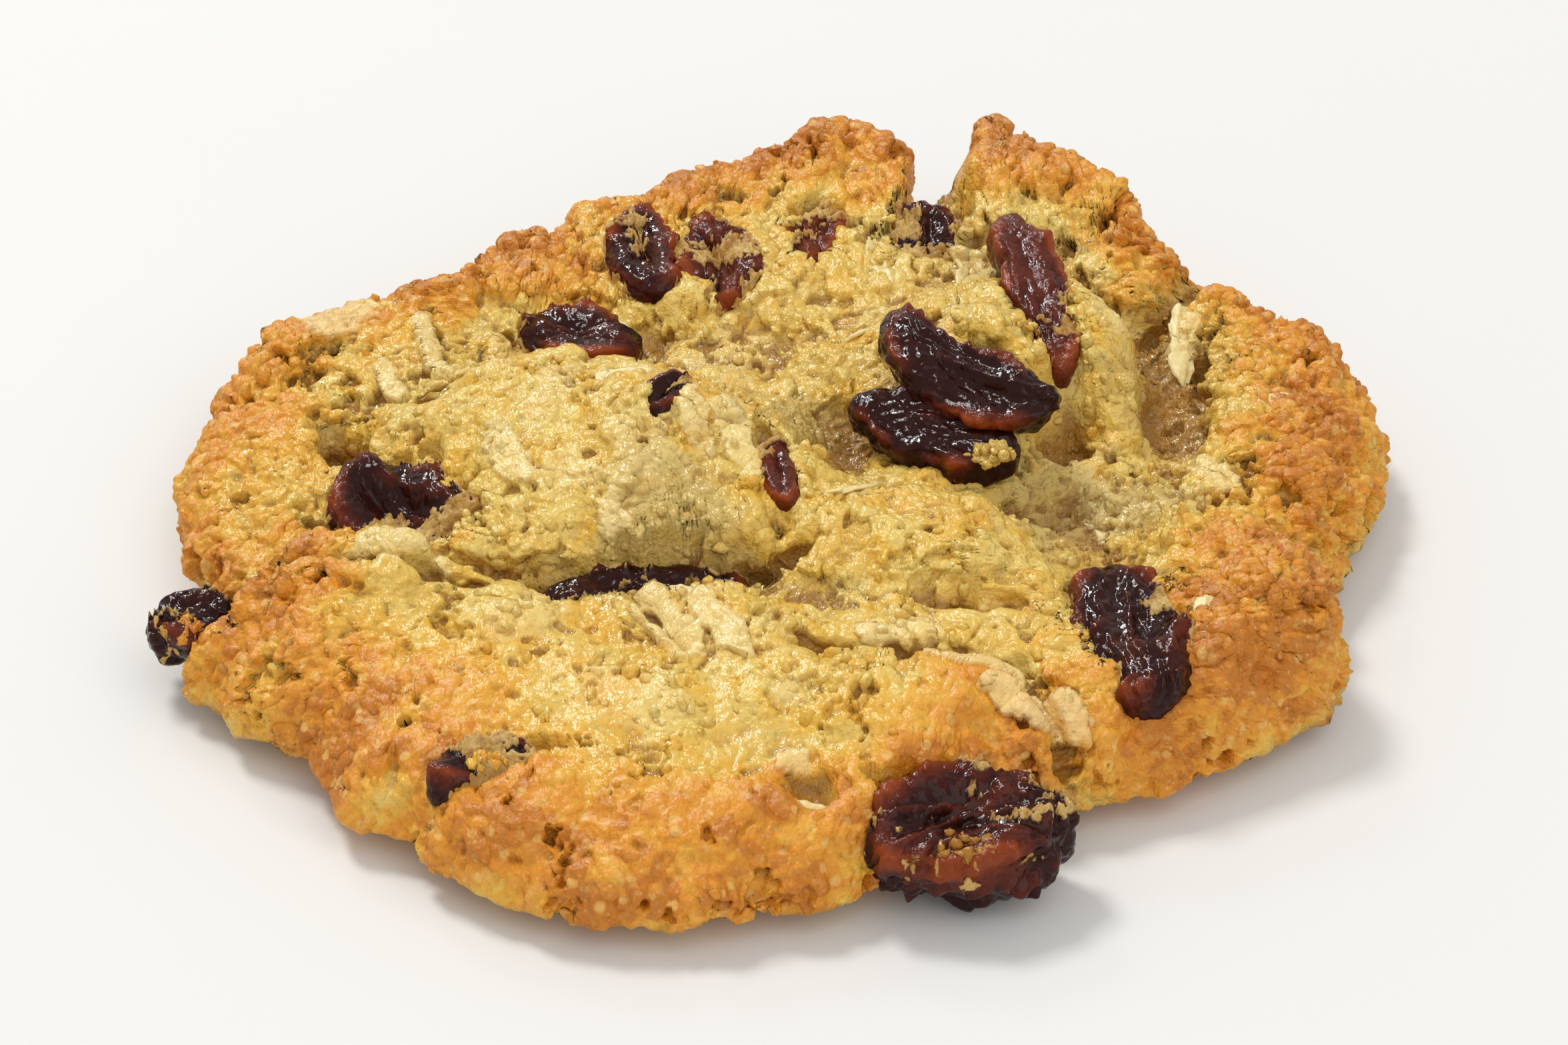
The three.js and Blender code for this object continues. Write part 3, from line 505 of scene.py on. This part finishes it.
class Surface:
    """One material: its nodes, added by type, and a Principled surface to feed."""

    def __init__(self, name):
        self.material = bpy.data.materials.new(name)
        self.material.use_nodes = True
        self.tree = self.material.node_tree
        self.shader = self.tree.nodes["Principled BSDF"]
        self.place = self.node("ShaderNodeTexCoord", out="Object")

    def node(self, kind, settings=None, out=0, **sockets):
        """Add a node of a type, with its settings, feed its sockets and give back one output."""
        node = self.tree.nodes.new(kind)
        for key, value in (settings or {}).items():
            setattr(node, key, value)
        for key, value in sockets.items():
            slot = node.inputs[int(key[1:])] if key[0] == "_" else node.inputs[key.replace("_", " ")]
            plug(self.tree, slot, value)
        return Value(self.tree, node.outputs[out])

    def attribute(self, name):
        """A number stored on the mesh."""
        return self.node("ShaderNodeAttribute", {"attribute_name": name}, out="Fac")

    def noise(self, size_mm, detail=3.0):
        """Cloudy noise 0..1 whose blotches are about size_mm across."""
        scale = 1000.0 / size_mm
        return self.node("ShaderNodeTexNoise", out="Fac", Vector=self.place, Scale=scale, Detail=detail)

    def spots(self, size_mm, out="Distance"):
        """Distance to the nearest of scattered middles about size_mm apart, or as "Color" its own tone."""
        return self.node("ShaderNodeTexVoronoi", out=out, Vector=self.place, Scale=1000.0 / size_mm)

    def ramp(self, value, low, high):
        """0 below low, 1 above high, a smooth curve between."""
        settings = {"interpolation_type": "SMOOTHSTEP"}
        return self.node("ShaderNodeMapRange", settings, Value=value, From_Min=low, From_Max=high)

    def mix(self, share, one, other):
        """Blend two colours."""
        return self.node("ShaderNodeMix", {"data_type": "RGBA"}, out=2, _0=share, _6=one, _7=other)

    def bump(self, height, deep_mm, under=None):
        """A normal tilted by a height 0..1 that stands for deep_mm."""
        sockets = {"Height": height * deep_mm, "Distance": 0.001, "Strength": 1.0}
        if under is not None:
            sockets["Normal"] = under
        return self.node("ShaderNodeBump", out="Normal", **sockets)

    def feed(self, **sockets):
        """Feed the Principled surface's sockets, by name."""
        for key, value in sockets.items():
            plug(self.tree, self.shader.inputs[key.replace("_", " ")], value)


STRAW, CREAM, LEMON = (0.76, 0.50, 0.098, 1), (0.80, 0.585, 0.155, 1), (0.79, 0.475, 0.062, 1)
GOLD, TOAST, CARAMEL = (0.80, 0.43, 0.048, 1), (0.74, 0.29, 0.020, 1), (0.46, 0.125, 0.006, 1)
GRANULE, MOIST, OAT = (0.84, 0.56, 0.17, 1), (0.50, 0.36, 0.12, 1), (0.88, 0.69, 0.30, 1)
# Last three colours on the next line: painted shade in crevices and hollows, painted shade in pits between
# grains, painted glints on pale specks.
CREVICE_SHADE, PIT_SHADE_SAND, SUGAR_GLINT = (0.28, 0.10, 0.012, 1), (0.36, 0.21, 0.065, 1), (0.97, 0.84, 0.44, 1)
DAMP_SPOTS = (  # middle x, y, radius, how damp
    (21, -2, 6, 0.9), (26, 9, 4, 0.7), (-6, -8.5, 6, 0.8), (3.5, 4, 4, 0.9), (-9, 0, 4, 0.4),
    (12, 30, 4, 0.8), (-8, -12, 6, 0.5),
)


def dough_surface():
    """Straw crumb in the middle, gold to toasted towards the rim, damp grey hollows, wet glints, painted
    shade and glints.
    """
    surface = Surface("baked_dough")
    names = ("pale", "hollow_shade", "grit", "brown", "damp", "oat")
    pale, hollow_shade, grit, brown, damp, oat = (surface.attribute(name) for name in names)
    grain, patch = surface.noise(0.9), surface.noise(3.6)
    dry = surface.ramp(brown, 0.35, 0.75)
    tone = brown + 0.8 * (patch - 0.5) + 0.3 * (grain - 0.5)
    tone = tone + 0.30 * dry * (surface.spots(0.9, "Color") - 0.5)
    colour = surface.mix(surface.ramp(surface.noise(2.4), 0.42, 0.60), STRAW, CREAM)
    colour = surface.mix(surface.ramp(surface.noise(3.1, 2.0), 0.50, 0.68), colour, LEMON)
    colour = surface.mix(surface.ramp(tone, 0.10, 0.46), colour, GOLD)
    colour = surface.mix(surface.ramp(tone, 0.36, 0.84), colour, TOAST)
    scorched = surface.ramp(tone + 0.9 * (surface.noise(1.7, 4.0) - 0.5), 0.82, 1.15)
    colour = surface.mix(scorched * 0.65, colour, CARAMEL)
    granule = surface.ramp(surface.spots(0.8, "Color") + 0.5 * (grain - 0.5), 0.60, 0.85)
    granule = granule * (1.0 - surface.ramp(surface.spots(0.8), 0.35, 0.6))
    colour = surface.mix(granule * dry * 0.55, colour, GRANULE)
    colour = surface.mix(surface.ramp(damp + 0.4 * (grain - 0.5), 0.3, 0.9) * 0.6, colour, MOIST)
    flake = surface.ramp(pale + 0.5 * (surface.noise(1.4, 4.0) - 0.5), 0.62, 0.9)
    flake = flake * (1.0 - surface.ramp(brown, 0.3, 0.7))
    colour = surface.mix(flake * 0.35, colour, OAT)
    colour = surface.mix((oat + 0.5 * (grain - 0.5)).clamp() * 0.7, colour, OAT)
    # Painted shade: crevice colour where the skin is hollow.
    colour = surface.mix(surface.ramp(hollow_shade, 0.0, 0.8) * 0.75, colour, CREVICE_SHADE)
    # Painted shade in the pits between the sand's grains.
    sand = surface.noise(0.45)
    pit_shade = (1.0 - surface.ramp(sand, 0.30, 0.50)) * (0.06 + 0.20 * grit)
    colour = surface.mix(pit_shade, colour, PIT_SHADE_SAND)
    # Painted glints: pale sugar-like specks at the middles of small spots where the sand is high.
    glint_bead = (1.0 - surface.ramp(surface.spots(0.42), 0.08, 0.42)) * surface.ramp(sand, 0.5, 0.6)
    colour = surface.mix(glint_bead * (0.06 + 0.24 * grit), colour, SUGAR_GLINT)
    wet = surface.ramp(damp + 0.9 * (patch - 0.5), -0.1, 0.6)
    coarse = surface.bump(surface.noise(0.5, 2.0) * (0.35 + 0.65 * grit), 0.30)
    fine = surface.bump(surface.noise(0.22, 1.0) * (0.3 + 0.7 * grit), 0.06, coarse)
    surface.feed(Base_Color=colour, Normal=fine, Roughness=0.26 - 0.12 * wet + 0.22 * dry)
    surface.feed(Specular_IOR_Level=0.33)
    surface.feed(Subsurface_Weight=0.18, Subsurface_Scale=0.0006, Subsurface_Radius=(1, 0.7, 0.5))
    return surface.material


def dough_looks(points, looks):
    """Browning, painted shade in hollows and damp spots for the colour, from the skin's own form."""
    x, y = points[..., 0], points[..., 1]
    outward, rough = looks["outward"], looks["rough"]
    blotch = waves(points, 8.0, 41) + 0.6 * waves(points, 3.5, 42)
    rim = step_up(outward + 0.10 * waves(points, 11, 43), 0.62, 1.0)
    right = bell(angle_gap(np.arctan2(y, x), RIGHT_FACE[0]), RIGHT_FACE[1], 2) * step_up(outward, 0.5, 0.9)
    low = step_up(-points[..., 2], -6.5, -3.0) * step_up(outward, 0.80, 0.95)
    brown = 0.54 * rim + (0.20 + 0.20 * rim) * blotch + 0.05 * right + 0.12 * looks["front"] + 0.25 * low
    brown = np.maximum(brown, low * (0.62 + 0.12 * blotch))
    brown = brown + (0.05 + 0.35 * rim) * np.clip(looks["broad"], -1, 1.5)
    brown = brown + (0.25 + 0.45 * rim) * (looks["tone"] - 0.5)
    damp = sum(deep * bell(np.hypot(x - u, y - v), radius, 1.5) for u, v, radius, deep in DAMP_SPOTS)
    damp = (damp + 0.3 * waves(points, 3.0, 44)) * rough + 0.4 * looks["missing"]
    # Painted shade: darkening in the skin's small and broad hollows, crevices, pores and torn slots.
    hollow_shade = np.clip(-1.5 * looks["fine"] - 0.02, 0, 0.8) + np.clip(-0.36 * looks["broad"] - 0.08, 0, 0.8)
    hollow_shade = hollow_shade + 0.5 * looks["crevice"]
    kept = {key: looks[key] for key in ("pale", "oat", "grit")}
    return {**kept, "brown": brown, "damp": damp, "hollow_shade": hollow_shade}


dough_material = dough_surface()
dough_values = dough_looks(skin, looks)
HALF = CELLS // 2
for corner, rows in (("left", slice(0, HALF + 1)), ("right", slice(HALF, CELLS + 1))):
    for side, columns in (("front", slice(0, HALF + 1)), ("back", slice(HALF, CELLS + 1))):
        part = {key: value[rows, columns] for key, value in dough_values.items()}
        piece = add_grid(f"dough_{corner}_{side}", skin[rows, columns], part, dough_material)
        piece.data.normals_split_custom_set_from_vertices(skin_normals[rows, columns].reshape(-1, 3))
        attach(piece, "root")
        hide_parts("cookie")


# The underside: flat where the dough lay on its tray, browned and finely pitted, meeting the
# skin along its last row of points.
UNDER_RINGS = 42


def underside():
    """Rings from the skin's border to the middle, lifted by ragged pits that start inside the border."""
    border = np.concatenate([skin[:-1, 0], skin[-1, :-1], skin[:0:-1, -1], skin[0, :0:-1]])
    share = np.linspace(1, 0.004, UNDER_RINGS)[:, None, None]
    points = border[None] * share
    shift = np.stack([waves(points, 2.6, seed) + 0.5 * waves(points, 1.2, seed) for seed in (64, 65, 66)], -1)
    pits = bumps(points + 1.5 * shift, 3.0, 61) + 0.3 * waves(points, 7.0, 67)
    lift = 0.35 * step_up(pits, 0.66, 1.02) + 0.12 * np.abs(waves(points, 4.0, 62))
    points[..., 2] = lift * step_up(1 - share[..., 0], 0.02, 0.08)
    return points


under = underside()
under_outward = np.hypot(under[..., 0], under[..., 1]) / MEAN_RADIUS
none = np.zeros(under_outward.shape)
under_brown = 0.62 + 0.2 * under_outward + 0.35 * waves(under, 6.0, 63)
under_values = {
    "pale": none, "oat": none, "grit": none + 0.5,
    # The underside's pits are darkened as painted shade.
    "brown": under_brown, "damp": none, "hollow_shade": 1.2 * under[..., 2],
}
under_values = {key: value.T for key, value in under_values.items()}
under_rows = under.transpose(1, 0, 2)
under_piece = add_grid("dough_underside", under_rows, under_values, dough_material, close=True)
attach(under_piece, "root")
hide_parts("cookie")


# Raisins: sixteen, shrivelled, their skins folded lengthwise and glossy, red where thin, with
# some dough left on them. Each replaces its own solid.
RAISIN_ROUND, RAISIN_ALONG = 150, 110  # points of each raisin's grid
FOLDS_HIGH, CREASE_DEEP, CREEP_HIGH, SMEAR_HIGH = 0.6, 0.45, 0.10, 0.3
SKIN_DARK, SKIN_RED, SKIN_THIN = (0.024, 0.005, 0.004, 1), (0.105, 0.016, 0.006, 1), (0.25, 0.044, 0.008, 1)
SMEAR_BROWN, SMEAR_PALE = (0.52, 0.28, 0.07, 1), (0.74, 0.50, 0.16, 1)
RAISIN_LOOKS = {  # shift towards red, depth of folds, dough left on it (below 0: also past the cookie's edge)
    "raisin_back_tall": (0.20, 1.2, 0.75), "raisin_back_low": (0.12, 1.2, 0.8),
    "raisin_back_middle": (0.36, 1.2, 0.8), "raisin_back_round": (0.55, 1.0, 0.5),
    "raisin_notch": (0.10, 1.2, 0.95), "raisin_back_right": (0.40, 1.0, 0.0), "raisin_slit": (0.40, 1.0, 0.4),
    "raisin_front": (0.08, 1.8, -0.45), "raisin_left": (0.10, 1.2, 0.7), "raisin_right": (0.05, 1.2, 0.6),
    "raisin_left_edge": (0.0, 1.3, -0.35), "raisin_front_left": (0.0, 1.0, 0.9),
}


def ball_grid(along, around):
    """Angles of a ball's grid [along, round]: from pole to pole, and round the line between the poles."""
    whole = np.linspace(0, 2 * np.pi, around, endpoint=False)
    return np.meshgrid(np.linspace(0, np.pi, along), whole, indexing="ij")


def add_balls(name, balls, values, material):
    """One piece of closed balls, from grids [k, along, round] whose end rows are drawn to a point."""
    count, along, around = balls.shape[:3]

    def joined(grids):
        rows = grids[:, 1:-1].reshape(count, -1, *grids.shape[3:])
        return np.concatenate([rows, grids[:, :1, 0], grids[:, -1:, 0]], axis=1)

    places = joined(balls)
    number = np.arange((along - 2) * around).reshape(along - 2, around)
    after = np.roll(number, -1, axis=1)
    first, last = places.shape[1] - 2, places.shape[1] - 1
    quads = np.stack([number[:-1], after[:-1], after[1:], number[1:]], -1).reshape(-1, 4)
    cap = np.stack([after[0], number[0], np.full(around, first)], -1)
    end = np.stack([number[-1], after[-1], np.full(around, last)], -1)
    jumps = np.arange(count)[:, None, None] * places.shape[1]
    faces = (quads + jumps).reshape(-1, 4).tolist()
    faces += (np.concatenate([cap, end]) + jumps).reshape(-1, 3).tolist()
    return add_piece(name, places, faces, {key: joined(value) for key, value in values.items()}, material)


def raisin_form(middle, size, turns, seed, warm, deep, doughy):
    """A flat oval with a raised ragged rim, sunken on top, folded lengthwise and creased all over."""
    rng = np.random.default_rng(700 + seed)
    spans = (-0.2, 0.2), (-0.1, 0.1), (-0.5, 0.5), (0.15, 0.35)
    taper, bend, twist, cup = (rng.uniform(*span) for span in spans)
    t, around = ball_grid(RAISIN_ALONG, RAISIN_ROUND)
    x, y, z = np.cos(t), np.sin(t) * np.cos(around), np.sin(t) * np.sin(around)
    half = np.array(size) / 2
    base = np.stack([x * half[0], y * half[1] * (1 + taper * x), np.sign(z) * np.abs(z) ** 0.7 * half[2]], -1)
    normal = np.stack([x / half[0], y / half[1], z / half[2]], -1)
    normal = normal / np.linalg.norm(normal, axis=-1, keepdims=True)
    small = min(1.0, size[1] / 6)
    out = np.hypot(x, y)
    folds = 1 - 2 * np.abs(waves(base * (0.25, 1, 0.4) + 11 * seed, 2.4, 71))
    bent = base * (0.5, 1, 1) + 0.5 * waves(base, 1.6, 72)[..., None]
    crease = np.abs(waves(bent + 5 * seed, 1.1, 73))
    notch = waves(base * (1, 1, 0.3) + 3 * seed, 1.8, 77)
    creep = waves(base + seed, 0.5, 74) + 0.5 * waves(base + seed, 0.26, 78)
    left = waves(base + 3 * seed, 2.8, 75) + 0.5 * waves(base + seed, 1.0, 76)
    rim = bell(out - 0.90, 0.10) * step_up(waves(base + 2 * seed, 4.0, 79), -0.35, 0.25)
    jag = waves(base * (1, 1, 0.3) + seed, 0.7, 69)
    relief = FOLDS_HIGH * deep * (folds - 0.4) + CREASE_DEEP * deep * (crease - 0.2) + CREEP_HIGH * creep
    relief = relief + rim * (0.55 + 0.5 * notch + 0.4 * jag) + 0.35 * notch * step_up(out, 0.6, 0.85)
    relief = small * relief
    dent = -cup * size[2] * bell(out, 0.62, 1.6) * (z > 0)
    ends = np.sin(t) ** 0.5
    points = base + normal * ((relief + dent) * ends)[..., None]
    points[..., 1] += bend * size[0] * (x * x - 0.3)
    c, s = np.cos(twist * x), np.sin(twist * x)
    across, up = points[..., 1], points[..., 2]
    points = np.stack([points[..., 0], across * c - up * s, across * s + up * c], -1)
    points = points @ turn_matrix(*turns).T + middle
    at_x, at_y = points[..., 0], points[..., 1]
    spread = np.hypot(at_x, at_y) / edge_radius(np.arctan2(at_y, at_x))
    cover = points[..., 2] - crust_height(at_x, at_y) + 40 * np.clip(spread - 0.9, 0, 1) * (doughy >= 0)
    dough = 0.8 * left + doughy - 0.8 * np.clip(cover, -0.6, 2) + 0.4 * creep
    dough = step_up(dough, 0.42, 0.6) * step_up(np.sin(t), 0, 0.3)
    points[..., 2] += SMEAR_HIGH * dough * (z > -0.2) * (1 + creep)
    thin = (0.6 * rim + 0.4 * relief / small) * ends * step_up(z, -0.6, 0.3) + warm
    return points, {"thin": thin, "dough": dough}


def raisin_surface():
    """Dark purple-brown skin, orange-red where the rim and ridges are thin, wet glints, patches of dough."""
    surface = Surface("raisin_skin")
    thin, dough = surface.attribute("thin"), surface.attribute("dough")
    blotch, grain = surface.noise(1.8), surface.noise(0.4)
    light = thin + 0.6 * (blotch - 0.5) + 0.3 * (grain - 0.5)
    colour = surface.mix(surface.ramp(light, 0.1, 0.5), SKIN_DARK, SKIN_RED)
    colour = surface.mix(surface.ramp(light, 0.50, 0.95), colour, SKIN_THIN)
    smear = surface.ramp(dough + 1.6 * (grain - 0.5), 0.40, 0.95)
    smear_colour = surface.mix(surface.ramp(blotch, 0.35, 0.65), SMEAR_BROWN, SMEAR_PALE)
    colour = surface.mix(smear * 0.8, colour, smear_colour)
    ripple = surface.bump(surface.noise(1.3, 2.0), 0.24)
    fine = surface.bump(grain, 0.05 + 0.12 * (smear + surface.ramp(light, 0.3, 0.7)).clamp(), ripple)
    dull = (smear + 0.3 * surface.ramp(light, 0.35, 0.75)).clamp()
    surface.feed(Base_Color=colour, Normal=fine, Roughness=0.08 + 0.32 * dull)
    surface.feed(Specular_IOR_Level=0.18, Subsurface_Weight=0.06, Subsurface_Scale=0.0006)
    return surface.material


raisin_material = raisin_surface()
for seed, (name, (middle, size, turns)) in enumerate(RAISINS.items()):
    points, values = raisin_form(middle, size, turns, seed, *RAISIN_LOOKS.get(name, (0.0, 1.0, 0.0)))
    values = {key: value[None] for key, value in values.items()}
    piece = add_balls(name + "_skin", points[None], values, raisin_material)
    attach(piece, "root")
    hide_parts(name)


# Oat flakes that stand clear of the crust: rolled oats, thin blunt ovals with torn, bent edges,
# the placed ones six to nine millimetres long and the loose ones smaller, stuck in by one side.
FLAKE_THICK = 0.5
FLAKE_ALONG, FLAKE_ROUND = 31, 56  # points of each flake's grid
FLAKE_BROWN, FLAKE_CREAM = (0.79, 0.58, 0.22, 1), (0.89, 0.74, 0.38, 1)
RAISED_FLAKES = [flake for flake in PLACED_FLAKES if flake[4] >= 30]
LOOSE_FLAKES, LOOSE_REACH = 14, 36  # how many more, and how far out
UPPER_GRID = slice(40, -40, 3)  # rows and columns of the skin's grid that things are laid on


def skin_at(places):
    """Point and smoothed normal of the finished skin nearest to each plan place, on its upper grid."""
    inner = skin[UPPER_GRID, UPPER_GRID].reshape(-1, 3)
    facing = np.stack([soften(skin_normals[..., k], 8) for k in range(3)], -1)
    facing = facing[UPPER_GRID, UPPER_GRID].reshape(-1, 3)
    nearest = ((places[:, None] - inner[None, :, :2]) ** 2).sum(-1).argmin(1)
    facing = facing[nearest] / np.linalg.norm(facing[nearest], axis=1, keepdims=True)
    return inner[nearest], facing


def lay_on(facing):
    """Rotation whose z is the given normal and whose x stays near the world's x."""
    side = np.cross((0, 1, 0), facing)
    side = side / np.linalg.norm(side)
    return np.stack([side, np.cross(facing, side), facing], -1)


def flake_form():
    """A unit flake [along, round]: a flat oval with blunt ends, thin towards its edge."""
    t, around = ball_grid(FLAKE_ALONG, FLAKE_ROUND)
    out, side = np.sin(t), np.cos(t)
    blunt = (np.abs(np.cos(around)) ** 3 + np.abs(np.sin(around)) ** 3) ** (-1 / 3)
    x, y = out * np.cos(around) * blunt, out * np.sin(around) * blunt
    return np.stack([x, y, np.sign(side) * np.abs(side) ** 0.6], -1)


def lay_flakes():
    """Every flake's points: the unit flake sized, torn, bent, leaned, turned, laid on the skin and sunk."""
    rng = np.random.default_rng(81)
    unit = flake_form()
    reach = LOOSE_REACH * np.sqrt(rng.uniform(0, 1, LOOSE_FLAKES))
    angle = rng.uniform(0, 2 * np.pi, LOOSE_FLAKES)
    spans = ((0, 360), (3, 5), (1.2, 2.6), (20, 50))  # turn, length, width, lean
    loose = [
        ((r * np.cos(a), r * np.sin(a)), *(rng.uniform(*span) for span in spans), 0.1)
        for r, a in zip(reach, angle)
    ]
    every = (*RAISED_FLAKES, *loose)
    under_flake, facing = skin_at(np.array([flake[0] for flake in every]))
    flakes = []
    for k, (at, turn, long, wide, lean, lift) in enumerate(every):
        points = unit * (long / 2, wide / 2, FLAKE_THICK / 2 * rng.uniform(0.7, 1.1))
        points[..., 2] += rng.uniform(-0.05, 0.02) * points[..., 0] ** 2
        torn = [
            waves(points + 9.1 * k + 3 * n, 1.6, 82) + 0.5 * waves(points + 7.3 * k + 3 * n, 0.6, 84)
            for n in range(3)
        ]
        points = points + np.stack(torn, -1) * (0.7, 0.4, 0.10)
        points[..., 2] += 0.16 * waves(points * (0.12, 1, 0) + 5.3 * k, 0.55, 85) * (unit[..., 2] > 0)
        points = points @ turn_matrix(turn, 0, lean).T @ lay_on(facing[k]).T
        sink = 0.3 * wide * np.sin(np.radians(lean)) + 0.15 - lift * 0.4
        flakes.append(points + under_flake[k] - facing[k] * sink)
    return np.stack(flakes)


def flake_surface():
    """Cream oat, streaked along its length and toasted in places."""
    surface = Surface("oat_flake")
    toast = surface.attribute("toast")
    streak = surface.noise(0.5, 5.0)
    colour = surface.mix(surface.ramp(streak, 0.3, 0.7), FLAKE_BROWN, FLAKE_CREAM)
    colour = surface.mix(surface.ramp(toast + 0.6 * (surface.noise(2.0) - 0.5), 0.6, 1.2), colour, GOLD)
    fine = surface.bump(streak, 0.12)
    surface.feed(Base_Color=colour, Normal=fine, Roughness=0.45)
    surface.feed(Subsurface_Weight=0.3, Subsurface_Scale=0.0007, Subsurface_Radius=(1, 0.7, 0.4))
    return surface.material


flakes = lay_flakes()
toast = np.random.default_rng(83).uniform(0, 1, len(flakes))
toast = np.broadcast_to(toast[:, None, None], flakes.shape[:3])
flake_piece = add_balls("oat_flakes", flakes, {"toast": toast}, flake_surface())
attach(flake_piece, "root")
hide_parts("cookie")


# Crumbs: bits of dough, mostly a third of a millimetre to a millimetre across, that stand on the
# broken crust, thickest on steep bare banks, and stick in small clumps to four of the raisins.
CRUMBS = 1840
CRUMB_ALONG, CRUMB_ROUND = 7, 9  # points of each crumb's grid
HEAP_CRUMBS, HEAP_SPREAD = 70, 0.36
HEAPS = (  # middle x, y, z and half width of each clump
    (15.2, -1.6, 11.8, 1.7), (12.6, -38.0, 6.2, 2.4), (-38.9, -14.2, 6.2, 1.3), (-18.0, -31.6, 8.3, 1.3),
)
BANK = (22.8, 9)  # plan place of the bank by the mound, where crumbs lie thickest


def lay_crumbs():
    """Small lumpy balls on the skin, sized and squashed at random and sunk by a fifth, then the clumps,
    coloured by the skin six millimetres behind them. Also gives the skin's point under each crumb."""
    rng = np.random.default_rng(91)
    t, around = ball_grid(CRUMB_ALONG, CRUMB_ROUND)
    unit = np.stack([np.sin(t) * np.cos(around), np.sin(t) * np.sin(around), np.cos(t)], -1)
    chance = (looks["rough"] ** 2 + 0.16) * (skin_normals[..., 2] > 0.1) * (looks["outward"] < 0.995)
    chance = chance * step_up(waves(skin, 4.0, 92), -0.25, 0.35) ** 2
    bare = (1 - looks["calm"]) * (looks["outward"] < 0.9) * (skin_normals[..., 2] > 0)
    on_bank = bell(np.hypot((skin[..., 0] - BANK[0]) / 2.6, (skin[..., 1] - BANK[1]) / 5), 1)
    chance = chance + 2.5 * bare**2 + 5 * on_bank
    chosen = rng.choice(chance.size, CRUMBS, p=(chance / chance.sum()).ravel())
    at, out = skin.reshape(-1, 3)[chosen], skin_normals.reshape(-1, 3)[chosen]
    size = 0.14 + (0.5 + 0.3 * bare.ravel()[chosen]) * rng.uniform(0, 1, CRUMBS) ** 4
    for k, (x, y, z, wide) in enumerate(HEAPS):
        one = slice(HEAP_CRUMBS * k, HEAP_CRUMBS * (k + 1))
        at[one] = (x, y, z) + rng.normal(0, HEAP_SPREAD, (HEAP_CRUMBS, 3)) * (wide, 0.75 * wide, 0.4 * wide)
        size[one] = rng.uniform(0.2, 0.5, HEAP_CRUMBS)
        chosen[one] = np.hypot(skin[..., 0] - x, skin[..., 1] - y - 6).argmin()
    shape = rng.uniform(0.5, 1.4, (CRUMBS, 1, 1, 3))
    lumpy = 1 + 0.28 * rng.uniform(-1, 1, (CRUMBS, *unit.shape[:2], 1))
    lumpy[:, 0], lumpy[:, -1] = lumpy[:, :1, :1, 0], lumpy[:, -1:, :1, 0]
    balls = unit * shape * lumpy * size[:, None, None, None]
    return balls + (at - out * (0.2 * size)[:, None])[:, None, None], chosen


crumbs, under_crumbs = lay_crumbs()
crumb_values = {
    key: np.broadcast_to(value.ravel()[under_crumbs][:, None, None], crumbs.shape[:3])
    for key, value in dough_values.items()
}
crumb_piece = add_balls("crumbs", crumbs, crumb_values, dough_material)
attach(crumb_piece, "root")
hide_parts("cookie")


# The table, the light and the camera: a pale plain floor, a soft lamp behind to the left, a wide
# weak one in front at the right, a small one behind for glints alone, and an even white room.
PAPER_LOW, PAPER_HIGH = (0.795, 0.795, 0.78, 1), (0.815, 0.815, 0.80, 1)
floor_surface = Surface("floor")
paper = floor_surface.mix(floor_surface.noise(40.0, 2.0), PAPER_LOW, PAPER_HIGH)
floor_surface.feed(Base_Color=paper, Roughness=0.8)
floor_mesh = bpy.data.meshes.new("floor")
floor_mesh.from_pydata([(-2, -2, 0), (2, -2, 0), (2, 2, 0), (-2, 2, 0)], [], [(0, 1, 2, 3)])
floor_mesh.materials.append(floor_surface.material)
floor = add_object("floor", floor_mesh)


def add_lamp(name, place, size, power, colour, glints_only=False):
    """A square lamp at a place, aimed at the cookie; one for glints alone gives matt things no light."""
    lamp = bpy.data.lights.new(name, "AREA")
    lamp.size, lamp.energy, lamp.color = size, power, colour
    holder = add_object(name, lamp)
    holder.location = place
    holder.rotation_euler = (-Vector(place)).to_track_quat("-Z", "Y").to_euler()
    holder.visible_diffuse = not glints_only


add_lamp("softbox", (-0.46, 0.44, 1.16), 0.32, 7.6, (1.0, 0.99, 0.96))
add_lamp("fill", (0.45, -0.85, 1.00), 1.4, 6.6, (1.0, 1.0, 1.0))
add_lamp("window", (-0.26, 0.60, 0.56), 0.13, 4.4, (0.97, 0.985, 1.0), glints_only=True)
world = bpy.data.worlds.new("room")
world.use_nodes = True
room = world.node_tree.nodes["Background"].inputs
room["Color"].default_value, room["Strength"].default_value = (1.0, 0.99, 0.98, 1), 0.57
bpy.context.scene.world = world
bpy.context.scene.view_settings.view_transform = "Standard"

# The camera stands 420 mm from the cookie and looks down by 35 degrees.
camera = bpy.data.cameras.new("camera")
camera.lens, camera.sensor_width, camera.clip_start = 140.1, 36, 0.01
camera_holder = add_object("camera", camera)
camera_holder.location = ((1.147 + SHIFT[0]) / 1000, (-344.10 + SHIFT[1]) / 1000, 0.24583)
camera_holder.rotation_euler = (np.radians(55), 0, 0)
bpy.context.scene.camera = camera_holder
